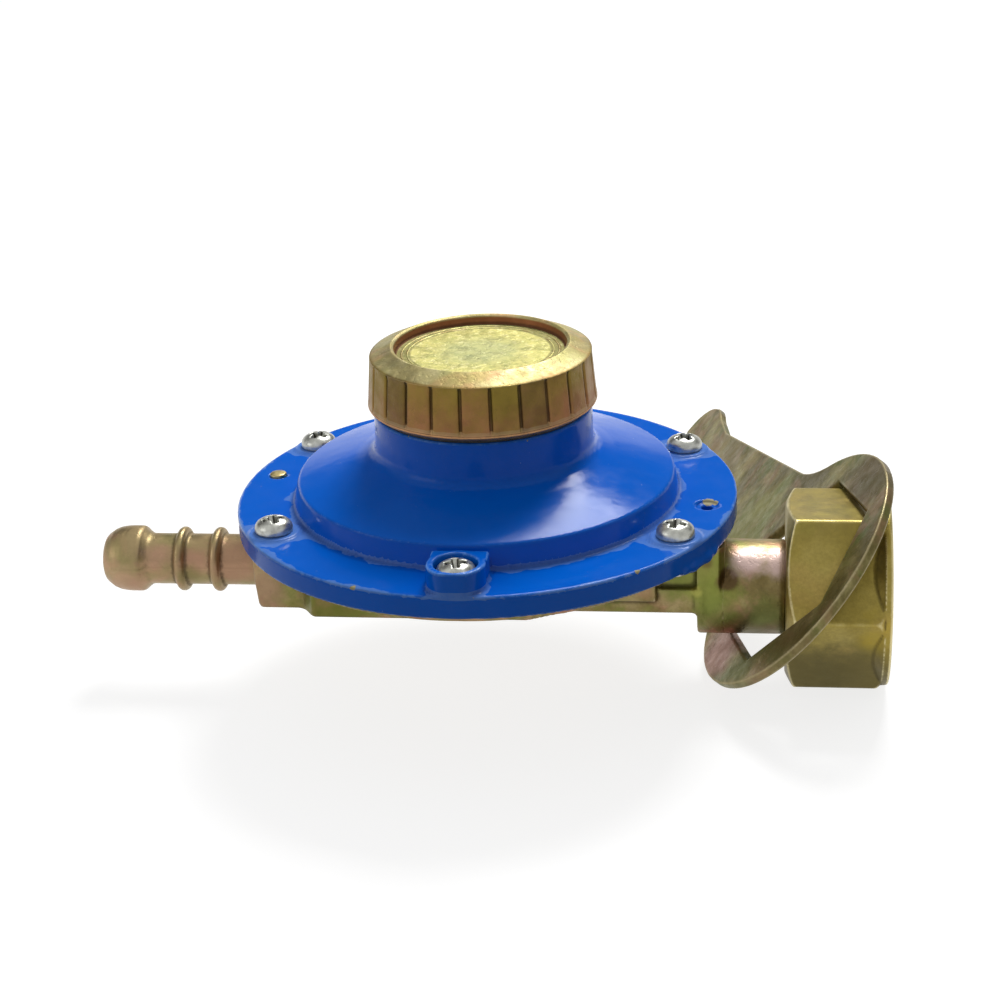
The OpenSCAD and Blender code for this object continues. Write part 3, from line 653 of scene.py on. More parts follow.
class Effects:
    """The shader groups that several finishes share."""

    def __init__(self) -> None:
        """Builds the groups once."""
        self.tints = self._tints()
        self.rub_and_shade = self._rub_and_shade()
        self.skin = self._skin()

    @staticmethod
    def _tints() -> bpy.types.NodeTree:
        """The drifting tints of a chromate film: olive, gold, pink and green."""
        b, put, end = new_group("chromate_tints", "ShaderNodeTree", {
            "Vector": "Vector", "Scale": 90.0, "Base": (0.3, 0.25, 0.1), "Pale": (0.5, 0.4, 0.2),
            "Pink": (0.5, 0.3, 0.2), "Green": (0.2, 0.3, 0.05), "Pink Share": 0.4, "Green Share": 0.4,
        }, ["Color: Color"])
        wide = b.noise(put["Vector"], put["Scale"], 4, 0.6)
        pink = b.noise(b.vector("ADD", put["Vector"], (0.31, 0.17, 0.23)), put["Scale"], 3, 0.6, 0.6)
        green = b.noise(b.vector("ADD", put["Vector"], (0.71, 0.43, 0.11)), put["Scale"], 3, 0.55, 0.4)
        colour = b.mix(b.ramp(wide, 0.35, 0.68), put["Base"], put["Pale"])
        colour = b.mix(b.times(b.ramp(pink, 0.46, 0.66), put["Pink Share"]), colour, put["Pink"])
        colour = b.mix(b.times(b.ramp(green, 0.48, 0.68), put["Green Share"]), colour, put["Green"])
        grain = b.ramp(b.noise(put["Vector"], 1900, 3, 0.7), 0.2, 0.8, 0.86, 1.12)
        b.feed(end, {"Color": b.scaled(colour, grain)})
        return b.tree

    @staticmethod
    def _rub_and_shade() -> bpy.types.NodeTree:
        """Where edges are rubbed bright, with a painted highlight along them, and where corners take painted shade,
        from the ridge attribute.
        """
        b, put, end = new_group("edge_wear", "ShaderNodeTree", {
            "Vector": "Vector", "Scale": 700.0, "Edge From": 0.3, "Edge To": 1.2, "Breakup": 0.5,
            "Corner From": 0.1, "Corner To": 0.8,
        }, ["Edge: Float", "Corner: Float"])
        ridge = b.point_value(RIDGE)
        swing = b.times(b.less(b.noise(put["Vector"], put["Scale"], 3, 0.6), 0.5), put["Breakup"])
        hollow = b.plus(b.times(ridge, -1.0), b.times(swing, 0.5))
        b.feed(end, {"Edge": b.ramp(b.plus(ridge, swing), put["Edge From"], put["Edge To"]),
                     "Corner": b.ramp(hollow, put["Corner From"], put["Corner To"])})
        return b.tree

    @staticmethod
    def _skin() -> bpy.types.NodeTree:
        """A height of cast or rolled skin: broad waves, small pits and fine grain, in metres."""
        b, put, end = new_group("metal_skin", "ShaderNodeTree", {
            "Vector": "Vector", "Wave": 0.5, "Pits": 0.5, "Grain": 0.5}, ["Height: Float"])
        wave = b.times(b.noise(put["Vector"], 260, 2, 0.5), put["Wave"])
        pits = b.times(b.ramp(b.noise(put["Vector"], 1100, 3, 0.6), 0.25, 0.5), put["Pits"])
        grain = b.times(b.noise(put["Vector"], 3600, 2, 0.6), put["Grain"])
        total = b.plus(b.plus(b.times(wave, 0.3), b.times(pits, 0.07)), b.times(grain, 0.03))
        b.feed(end, {"Height": b.times(total, MM)})
        return b.tree


class Coat:
    """A material in the making: its board, where it lies on the object, and its masks for rubbed edges with a painted
    highlight and for corners with painted shade.
    """

    def __init__(self, name: str, effects: Effects, rub_and_shade: dict | None = None) -> None:
        """Starts the material.

        Args:
            name: its name.
            effects: the shared groups.
            rub_and_shade: inputs of the wear group that aren't its defaults.
        """
        self.material = bpy.data.materials.new(name)
        self.material.use_nodes = True
        self.board = Board(self.material.node_tree)
        self.place = self.board.put("ShaderNodeTexCoord").outputs["Object"]
        # Masks for rubbed edges with their painted highlight and for corners that take painted shade
        self.rub_and_shade_masks = self.board.group(effects.rub_and_shade, {"Vector": self.place, **(rub_and_shade or {})})

    def done(self, height: Socket, strength: float, **inputs: object) -> bpy.types.Material:
        """Finishes the material.

        Args:
            height: the relief of its bump, in metres.
            strength: the bump's strength.
            inputs: what goes into the shader, with _ for the spaces in a name.
        Returns:
            The material.
        """
        shader = self.material.node_tree.nodes["Principled BSDF"]
        self.board.feed(shader, {name.replace("_", " "): value for name, value in inputs.items()})
        bump = self.board.put("ShaderNodeBump", {"Strength": strength, "Distance": 1.0, "Height": height})
        self.board.feed(shader, {"Normal": bump.outputs["Normal"]})
        return self.material


@dataclass(frozen=True)
class StainOrPaintedLight:
    """A patch of another tint with a ragged border: a real stain, a painted highlight or painted shade."""

    centre: tuple[float, float, float]
    radius: float
    colour: Colour
    share: float = 0.7
    soft: float = 0.5


@dataclass(frozen=True)
class Plated:
    """A zinc-plated, chromate-dipped metal finish.

    Its tints are display colours; the shares say how much pink and green drift over the base. Its edges lighten with
    rubbed wear and a painted highlight, its corners darken with painted shade, and some of its patches are painted
    highlights and shade.
    """

    name: str
    base: Colour
    pale: Colour
    pink: Colour
    green: Colour
    pink_share: float = 0.5
    green_share: float = 0.4
    scale: float = 95.0
    stretch: tuple[float, float, float] = (1.0, 1.0, 1.0)
    rough: tuple[float, float] = (0.3, 0.46)
    wave: float = 0.4
    pits: float = 0.5
    grain: float = 0.6
    bump: float = 0.5
    # Colour that edges lighten toward: rubbed wear with a painted highlight
    edge_wear_and_highlight: Colour = (0.6, 0.55, 0.35)
    edge_range: tuple[float, float] = (0.6, 2.2)
    edge_share: float = 0.7
    # Strength and colour of the painted shade in corners
    corner_shade: float = 0.5
    corner_shade_colour: Colour = (0.03, 0.022, 0.012)
    metallic: float = 0.6
    stains_and_painted_light: tuple[StainOrPaintedLight, ...] = ()

    def zoned(self, b: Board, place: Socket, colour: Socket) -> Socket:
        """Lays the patches, stains and painted light, over the drifting tints.

        Args:
            b: the material's board.
            place: the object coordinates.
            colour: the colour so far.
        Returns:
            The colour with the patches.
        """
        for one_patch in self.stains_and_painted_light:
            mask = b.blot(place, one_patch.centre, one_patch.radius, one_patch.soft, one_patch.share,
                          b.noise(place, 330, 4, 0.65), 1.1 * one_patch.radius)
            colour = b.mix(mask, colour, one_patch.colour)
        return colour

    def make(self, effects: Effects) -> bpy.types.Material:
        """Builds the material."""
        coat = Coat(self.name, effects, {"Edge From": self.edge_range[0], "Edge To": self.edge_range[1]})
        b, place, rub_and_shade_masks = coat.board, coat.place, coat.rub_and_shade_masks
        drawn = b.put("ShaderNodeMapping", {"Vector": place, "Scale": self.stretch}).outputs[0]
        tint = b.group(effects.tints, {
            "Vector": drawn, "Scale": self.scale, "Base": self.base, "Pale": self.pale, "Pink": self.pink,
            "Green": self.green, "Pink Share": self.pink_share, "Green Share": self.green_share})
        colour = self.zoned(b, place, tint["Color"])
        # Corners darkened: painted shade; edges lightened: rubbed wear with a painted highlight
        colour = b.mix(b.times(rub_and_shade_masks["Corner"], self.corner_shade), colour, self.corner_shade_colour)
        colour = b.mix(b.times(rub_and_shade_masks["Edge"], self.edge_share), colour, self.edge_wear_and_highlight)
        rough = b.ramp(b.noise(drawn, 420, 3, 0.6), 0.3, 0.7, *self.rough)
        skin = b.group(effects.skin, {"Vector": place, "Wave": self.wave, "Pits": self.pits, "Grain": self.grain})
        return coat.done(skin["Height"], self.bump, Base_Color=colour, Metallic=self.metallic,
                         Roughness=b.plus(rough, b.times(rub_and_shade_masks["Corner"], 0.2)))


@dataclass(frozen=True)
class CapPlated(Plated):
    """The cap's finish: rubbed pale ring, yellow-green floor, a red-brown painted reflection on the dish wall and a
    tint for each rib.
    """

    top: float = 23.73
    dish_r: float = 12.75
    wall_r: float = 15.8
    olive: Colour = srgb(134, 114, 42)
    brown: Colour = srgb(92, 68, 40)
    rose: Colour = srgb(152, 104, 68)
    lip: Colour = srgb(206, 156, 108)
    floor: Colour = srgb(210, 202, 126)
    floor_dark: Colour = srgb(176, 174, 104)
    floor_pale: Colour = srgb(238, 230, 168)
    floor_middle: Colour = srgb(158, 166, 126)
    # Red-brown painted reflection on the dish wall
    dish_wall_reflection: Colour = srgb(140, 88, 52)
    # Radius, share, patches in a metre, where the patches start, and tint of each rubbed ring on the floor
    rings: tuple[tuple[float, float, float, float, Colour], ...] = (
        (10.9, 0.6, 300, 0.45, srgb(150, 112, 66)), (11.75, 0.5, 210, 0.4, srgb(140, 104, 60)))

    def rib_wall(self, b: Board, place: Socket, x: Socket, y: Socket, z: Socket) -> Socket:
        """The wall's colour: a chance tint for each rib, rosier below, with a pale lip."""
        turn = b.math("DIVIDE", b.less(b.math("ARCTAN2", y, x), CAP_PHASE), 2 * math.pi / CAP_RIBS)
        index = b.math("FLOOR", b.math("MODULO", b.plus(turn, 4.0 * CAP_RIBS), float(CAP_RIBS)))
        first, second = (b.put("ShaderNodeTexWhiteNoise", {"W": b.plus(index, seed)}, noise_dimensions="1D")
                         .outputs["Value"] for seed in (3.0, 41.0))
        rosy = b.plus(b.times(first, 0.55), b.times(b.less(b.noise(place, 260, 4, 0.65), 0.4), 1.3))
        climb = b.ramp(z, CAP_LOW + 1.0, CAP_LOW + 7.5, 0.4, -0.25)
        share = b.put("ShaderNodeMath", {0: rosy, 1: climb}, operation="ADD", use_clamp=True).outputs[0]
        wall = b.mix(share, self.olive, self.rose)
        wall = b.mix(b.times(b.ramp(second, 0.4, 1.0), 0.6), wall, self.brown)
        wall = b.mix(b.ramp(b.noise(place, 700, 4, 0.7), 0.35, 0.75, 0.0, 0.3), wall, self.olive)
        return b.mix(b.ramp(z, CAP_LOW + 1.25, CAP_LOW + 0.8, 0.0, 0.7), wall, self.lip)

    def dish_floor(self, b: Board, place: Socket, radius: Socket) -> Socket:
        """The dish's floor: mottled, greyer in the middle, with rubbed rings."""
        floor = b.mix(b.ramp(b.noise(place, 640, 5, 0.75, 0.8), 0.36, 0.6), self.floor_dark, self.floor)
        floor = b.mix(b.ramp(b.noise(place, 900, 4, 0.7, 1.0), 0.5, 0.72), floor, self.floor_pale)
        floor = b.mix(b.ramp(radius, 3.0, 8.5, 0.5, 0.0), floor, self.floor_middle)
        for ring, share, patches, start, tint in self.rings:
            near = b.ramp(b.math("ABSOLUTE", b.less(radius, ring)), 0.12, 0.3, share, 0.0)
            floor = b.mix(b.times(near, b.ramp(b.noise(place, patches, 3, 0.6), start, 0.55)), floor, tint)
        return floor

    def zoned(self, b: Board, place: Socket, colour: Socket) -> Socket:
        """Tints the cap by zone."""
        local = b.scaled(b.vector("SUBTRACT", place, in_frame((0, 0, 0))), 1 / MM)
        x, y, z = b.put("ShaderNodeSeparateXYZ", {0: local}).outputs
        radius = b.hypot(x, y)
        floor = self.dish_floor(b, place, radius)
        deep = b.ramp(z, self.top - 0.25, self.top - 0.55)
        side = b.times(b.ramp(radius, self.dish_r - 0.45, self.dish_r - 0.2),
                       b.ramp(radius, self.dish_r + 0.35, self.dish_r + 0.15))
        # The dish wall takes a red-brown painted reflection
        colour = b.mix(b.times(deep, side), colour, self.dish_wall_reflection)
        inside = b.ramp(radius, self.dish_r - 0.2, self.dish_r - 0.45)
        colour = b.mix(b.times(deep, inside), colour, floor)
        on_wall = b.times(b.ramp(radius, self.wall_r, self.wall_r + 0.3), b.ramp(z, self.top - 1.2, self.top - 1.4))
        return b.mix(on_wall, colour, self.rib_wall(b, place, x, y, z))


@dataclass(frozen=True)
class Enamel:
    """Thick glossy paint over a casting, thin and chipped on its sharpest edges, with a painted highlight along them, a
    lighter painted reflection where the paint runs thick and painted shade in its corners.
    """

    name: str = "blue_enamel"
    colour: Colour = srgb(0, 96, 206)
    cloud: Colour = srgb(0, 88, 192)
    # Darker blue that the enamel's corners and creases take: painted shade
    deep: Colour = srgb(0, 52, 135)
    # Lighter blue where the paint runs thick: a painted reflection
    pool: Colour = srgb(84, 128, 206)
    fleck: Colour = srgb(120, 160, 220)
    # Lighter blue of the painted highlight along sharp edges
    edge: Colour = srgb(110, 164, 236)
    metal: Colour = srgb(168, 158, 120)
    ior: float = 1.4
    specular: float = 0.16
    bump: float = 0.6
    # Centre on the flange's top and radius of each chip, in mm
    bare: tuple[tuple[float, float, float], ...] = (
        (33.7, -3.6, 0.85), (34.6, -3.9, 0.5), (12.5, -36.9, 0.45), (24.6, -28.6, 0.4), (-14.4, -35.0, 0.5))

    def make(self, effects: Effects) -> bpy.types.Material:
        """Builds the material."""
        coat = Coat(self.name, effects)
        b, place = coat.board, coat.place
        cloud = b.ramp(b.noise(place, 130, 3, 0.6), 0.3, 0.7)
        colour = b.mix(b.times(cloud, 0.3), self.colour, self.cloud)
        # Lighter patches where the paint runs thick near the screws, the plateau's foot and the rim: a painted
        # reflection
        border = b.ragged(b.point_value(THICK_PAINT_SHEEN), b.noise(place, 230, 3, 0.55), 4.2)
        patchy = b.ramp(b.noise(place, 800, 4, 0.7), 0.25, 0.6, 0.7, 1.0)
        colour = b.mix(b.times(b.ramp(border, -0.12, 0.12, 1.0, 0.0), patchy), colour, self.pool)
        # Darker blue in corners and creases: painted shade
        colour = b.mix(b.times(coat.rub_and_shade_masks["Corner"], 0.5), colour, self.deep)
        flecks = b.ramp(b.noise(place, 1300, 3, 0.6), 0.735, 0.77)
        colour = b.mix(b.times(flecks, 0.5), colour, self.fleck)
        ridge = b.point_value(RIDGE)
        chips = b.times(b.ramp(ridge, 0.35, 0.6), b.ramp(b.noise(place, 330, 4, 0.7), 0.69, 0.72))
        for x, y, r in self.bare:
            chips = b.math("MAXIMUM", chips, b.blot(place, (x, y, 0), r, 0.1, 1.0, b.noise(place, 900, 3, 0.6), 0.9))
        # Lighter blue lines along the sharpest edges: painted highlight
        lines = b.times(b.ramp(ridge, 0.55, 1.3), b.ramp(b.noise(place, 260, 4, 0.7), 0.35, 0.6, 0.15, 0.6))
        colour = b.mix(lines, colour, self.edge)
        colour = b.mix(chips, colour, self.metal)
        peel = b.times(b.noise(place, 240, 2, 0.5), 0.09 * MM)
        orange = b.times(b.noise(place, 900, 2, 0.5), 0.012 * MM)
        raised = b.plus(b.plus(peel, orange), b.times(flecks, 0.04 * MM))
        rough = b.ramp(b.noise(place, 300, 3, 0.6), 0.3, 0.7, 0.13, 0.22)
        return coat.done(b.less(raised, b.times(chips, 0.08 * MM)), self.bump, Base_Color=colour, IOR=self.ior,
                         Roughness=b.plus(rough, b.times(chips, 0.3)), Specular_IOR_Level=self.specular)


@dataclass(frozen=True)
class Plain:
    """A metal or rubber finish with a little grain and painted shade in its corners, for small and hidden pieces."""

    name: str
    colour: Colour
    metallic: float = 1.0
    rough: tuple[float, float] = (0.2, 0.34)
    shade: float = 0.7
    # Strength and colour of the painted shade in corners
    corner_shade: float = 0.6
    corner_shade_colour: Colour = (0.02, 0.017, 0.012)
    bump: float = 0.3

    def make(self, effects: Effects) -> bpy.types.Material:
        """Builds the material."""
        coat = Coat(self.name, effects)
        b = coat.board
        cloud = b.noise(coat.place, 900, 3, 0.6)
        colour = b.mix(b.ramp(cloud, 0.35, 0.7), tuple(c * self.shade for c in self.colour), self.colour)
        # Corners darkened: painted shade
        colour = b.mix(b.times(coat.rub_and_shade_masks["Corner"], self.corner_shade), colour, self.corner_shade_colour)
        skin = b.group(effects.skin, {"Vector": coat.place, "Wave": 0.1})
        return coat.done(skin["Height"], self.bump, Base_Color=colour, Metallic=self.metallic,
                         Roughness=b.ramp(cloud, 0.3, 0.7, *self.rough))


class Slot(Enum):
    """The record's material slots."""

    ENAMEL = "blue_enamel"
    CASTING = "chromated_casting"
    CAP = "chromated_cap"
    SHEET = "chromated_steel"
    NUT = "chromated_nut"
    SCREW = "screw_steel"
    BRASS = "brass"
    STEEL = "plated_steel"
    RUBBER = "black_rubber"


CASTING_STAINS_AND_LIGHT = (
    StainOrPaintedLight((-34.5, -7, -14), 3.5, srgb(160, 122, 102), 0.6),
    StainOrPaintedLight((-24, -10, -14), 6, srgb(104, 106, 38), 0.75),
    StainOrPaintedLight((-50, -3, -12), 15, srgb(174, 150, 112), 0.6, 0.3),
    StainOrPaintedLight((-45.6, -4.5, -11), 2.4, srgb(196, 146, 124), 0.6),
    StainOrPaintedLight((-39.5, -4, -11), 3.4, srgb(180, 134, 112), 0.6),
    StainOrPaintedLight((-51.6, -4.5, -9.5), 2.2, srgb(196, 150, 128), 0.6),
    StainOrPaintedLight((-46.4, -5, -13), 1.8, srgb(116, 118, 58), 0.6),
    StainOrPaintedLight((-57, -5, -15), 3, srgb(190, 148, 124), 0.5),
    StainOrPaintedLight((33, -7, -11), 5.0, srgb(136, 144, 62), 0.8, 0.3),
    StainOrPaintedLight((34.5, -7, -17.5), 3.2, srgb(122, 130, 60), 0.7),
    StainOrPaintedLight((28, -7.7, -11.5), 3, srgb(118, 126, 58), 0.7),
    StainOrPaintedLight((36.4, -6, -11.5), 1.8, srgb(96, 66, 44), 0.85, 0.3),
    # Dark olive on the underside of the tail: painted shade
    StainOrPaintedLight((42, -6.5, -21), 4.4, srgb(92, 86, 44), 0.8),
    StainOrPaintedLight((42, -7, -16.5), 2.6, srgb(118, 128, 66), 0.6),
    # Pinkish white along the top of the tail: painted highlight
    StainOrPaintedLight((39.5, -4.2, -9.2), 2.5, srgb(226, 198, 190), 0.9, 0.5),
    StainOrPaintedLight((44.5, -4.2, -9.2), 2.5, srgb(222, 194, 186), 0.9, 0.5),
    StainOrPaintedLight((33.4, -7.2, -8.6), 0.9, srgb(96, 66, 44), 0.6),
    StainOrPaintedLight((31.8, -7.2, -13.2), 0.8, srgb(172, 170, 84), 0.8))
SHEET_STAINS_AND_SHADE = (
    # Darker upper right of the ring: painted shade
    StainOrPaintedLight((57.4, 1.5, 1.2), 6.5, srgb(98, 82, 48), 0.75, 0.5),
    StainOrPaintedLight((46, -18.3, -14.5), 5.5, srgb(108, 90, 54), 0.6),
    StainOrPaintedLight((35.6, -3.5, -25.4), 5.5, srgb(190, 150, 138), 0.8, 0.5),
    StainOrPaintedLight((40, 24, -15.5), 7, srgb(146, 148, 84), 0.6),
    StainOrPaintedLight((33.5, 56, -18.8), 9, srgb(150, 134, 96), 0.5),
    StainOrPaintedLight((38.5, -13, -22.5), 3, srgb(120, 128, 66), 0.6))
NUT_SHADE_AND_TINT = (
    # The first three patches darken the nut's top a little and its underside more: a downward gradient of painted shade
    StainOrPaintedLight((52, 1, -1.5), 9, srgb(134, 120, 60), 0.6),
    StainOrPaintedLight((46, -9, -26), 9, srgb(100, 90, 42), 0.85),
    StainOrPaintedLight((56, -9, -26.5), 9, srgb(98, 88, 40), 0.85),
    StainOrPaintedLight((58.6, -11, -16), 3.6, srgb(188, 162, 44), 0.75))

FINISHES: dict[Slot, Enamel | Plated | Plain] = {
    Slot.ENAMEL: Enamel(),
    Slot.CASTING: Plated(
        "chromated_casting", srgb(132, 116, 68), srgb(168, 150, 104), srgb(190, 134, 112), srgb(118, 132, 52),
        pink_share=0.8, green_share=0.75, scale=150, rough=(0.34, 0.5), edge_wear_and_highlight=srgb(206, 188, 152), pits=0.7,
        grain=0.8, metallic=0.75, stains_and_painted_light=CASTING_STAINS_AND_LIGHT),
    Slot.CAP: CapPlated(
        "chromated_cap", srgb(164, 150, 98), srgb(196, 186, 136), srgb(196, 152, 108), srgb(154, 154, 84),
        pink_share=0.6, green_share=0.5, scale=150, rough=(0.4, 0.58), edge_wear_and_highlight=srgb(196, 186, 150), pits=0.9,
        grain=1.2, edge_range=(1.2, 3.2), edge_share=0.15, metallic=0.75),
    Slot.SHEET: Plated(
        "chromated_steel", srgb(104, 94, 50), srgb(154, 144, 94), srgb(156, 122, 90), srgb(98, 108, 46),
        pink_share=0.5, green_share=0.7, scale=190, stretch=(1, 1, 0.8), rough=(0.36, 0.56), wave=0.8, pits=1.0,
        grain=1.1, edge_wear_and_highlight=srgb(186, 172, 132), edge_range=(0.45, 1.6), metallic=0.7, stains_and_painted_light=SHEET_STAINS_AND_SHADE),
    Slot.NUT: Plated(
        "chromated_nut", srgb(158, 140, 64), srgb(176, 158, 84), srgb(178, 142, 84), srgb(144, 140, 56),
        pink_share=0.25, green_share=0.4, scale=90, rough=(0.34, 0.46), wave=0.15, pits=0.3, grain=0.5,
        edge_wear_and_highlight=srgb(240, 226, 170), edge_range=(0.4, 1.3), edge_share=0.85, metallic=0.72, stains_and_painted_light=NUT_SHADE_AND_TINT),
    Slot.SCREW: Plain("screw_steel", srgb(206, 207, 198), rough=(0.26, 0.4), metallic=0.85, corner_shade=0.9),
    Slot.BRASS: Plain("brass", srgb(196, 178, 124), rough=(0.3, 0.5)),
    Slot.STEEL: Plain("plated_steel", srgb(190, 190, 190)),
    Slot.RUBBER: Plain("black_rubber", srgb(22, 22, 22), metallic=0.0, rough=(0.6, 0.8)),
}


class Paints:
    """Every finish, made once, by the slot that it belongs to."""

    def __init__(self) -> None:
        """Builds the materials."""
        effects = Effects()
        self.by_slot: dict[Slot, bpy.types.Material] = {
            slot: finish.make(effects) for slot, finish in FINISHES.items()}

    def dress(self, piece: bpy.types.Object, slot: Slot, body: str, *stands_for: str) -> bpy.types.Object:
        """Gives a piece its finish and its body.

        Args:
            piece: the object.
            slot: its finish.
            body: the CAD body that it rides on.
            stands_for: the CAD nodes that it replaces.
        Returns:
            The piece.
        """
        if not piece.data.materials:
            piece.data.materials.append(self.by_slot[slot])
        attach(piece, body)
        if stands_for:
            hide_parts(*stands_for)
        LOG.info("%s: %d faces on %s", piece.name, len(piece.data.polygons), body)
        return piece


# ---------------------------------------------------------------- Sub-assemblies


@dataclass
class Bonnet:
    """The painted upper casting: flange, domed plateau, neck, screw pads and screw cup."""

    flange_r: float = 37.8
    plateau_h: float = 3.4
    neck_r: float = 16.3
    cup_r: float = 4.15
    cup_seat: float = 1.5
    pad_r: float = 3.7
    pad_h: float = 0.3
    plateau_r: float = 28.4
    pitch: float = 0.42
    # Angle and size of each drop of paint under the rim
    runs: tuple[tuple[float, float], ...] = (
        (-34.5, 0.7), (-31.6, 1.0), (-28.8, 0.8), (-26.0, 1.05), (-22.8, 0.75))

    def section(self) -> Outline:
        """The half section that the casting is turned from."""
        f, n = self.flange_r, self.neck_r
        return rounded([
            (f - 1.3, -3.4, 0.25), (f, -3.4, 0.3), (f, 0, 0.45), (self.plateau_r + 0.8, 0, 0.6),
            (self.plateau_r, self.plateau_h + 0.1, 0.5),
            (n + 3.2, 6.3, 9), (n + 0.15, 7.5, 2.0), (n, 13.9, 0.4), (14.7, 13.9, 0.1),
            (14.7, 19.6, 0.4), (12.4, 19.6, 0.2), (12.4, 4.5, 0.4), (17.4, 3.5, 1), (26.2, 0.95, 1), (28.55, -1.2, 0.3),
            (30, -1.5, 0.3), (31, -2, 0.2), (f - 1.3, -2, 0.3)])

    def drop(self, turn: float, size: float) -> Field:
        """A drop of paint that has set under the rim, at an angle in degrees."""
        centre = np.array([*polar(self.flange_r - 0.9, turn), -3.3])
        return lambda p: np.linalg.norm((p - centre) * (0.8, 0.8, 1), axis=1) - size

    def solid(self) -> Field:
        """The whole casting as a field."""
        body = turned(self.section(), 2)
        rim = rod(2, (0, 0, 0), self.flange_r - 0.05, -3, 9)
        pads = [rod(2, screw_spot(i), self.pad_r, -1, self.pad_h, 0.3) for i in range(1, SCREW_COUNT)]
        cup = joined(0.35, rod(2, screw_spot(0), self.cup_r, -1, self.plateau_h, 0.3),
                     block((-4.0, -32.6, -1), (4.15, -29.5, self.plateau_h - 0.12), 0.3))
        web = block((-3.7, -31, -1), (3.7, -27, self.plateau_h - 1.3), 0.4)
        body = joined(0.5, body, shared(0.3, joined(0.2, *pads), rim), shared(0.3, joined(0.3, cup, web), rim))
        body = joined(0.9, body, *[self.drop(turn, drop) for turn, drop in self.runs])
        pin, blind = polar(SCREW_RING, PIN_TURN), polar(-SCREW_RING, PIN_TURN)
        return without(
            0.35, body, rod(2, screw_spot(0), 3.1, self.cup_seat, 9, 0.4),
            *[rod(2, screw_spot(i), 1.7, -9, 9) for i in range(SCREW_COUNT)], rod(2, pin, 1.32, -9, 9),
            rod(2, blind, 0.85, -1.9, 9), rod(2, blind, 1.75, -0.4, 9, 0.3),
            rod(2, polar(21.7, VENT_TURN), 1.0, -1, 12))

    def build(self, paints: Paints) -> None:
        """Casts and dresses the bonnet."""
        r = self.flange_r
        skin = Caster(self.solid(), (-r, -r, -4.6), (r, r, 19.6), self.pitch).skin()
        piece = piece_from("bonnet_casting", skin)
        # The thick-paint distance, which the enamel shows as a lighter painted reflection
        mark(piece.data, THICK_PAINT_SHEEN, self.thick_paint_sheen_distance(skin.points))
        paints.dress(piece, Slot.ENAMEL, "housing", "bonnet")

    def thick_paint_sheen_distance(self, p: np.ndarray) -> np.ndarray:
        """How far each point lies from where the paint has run thick, in mm, below 0 inside; the enamel paints a
        lighter reflection there.
        """
        radius, turn = np.hypot(p[:, 0], p[:, 1]), np.arctan2(p[:, 1], p[:, 0])
        near = radius - self.plateau_r - 1.6
        for i in range(SCREW_COUNT):
            t = math.radians(360 / SCREW_COUNT * i - 90)
            aside = ((turn - t + math.pi) % (2 * math.pi) - math.pi) * radius
            near = np.minimum(near, np.hypot(aside, 0.4 * (radius - SCREW_RING)) - 4.5)
        near = np.minimum(near, self.flange_r - 0.3 - radius)
        return np.where((radius > self.plateau_r + 0.2) & (p[:, 2] > -0.6) & (p[:, 2] < 0.8), near, 5.0)


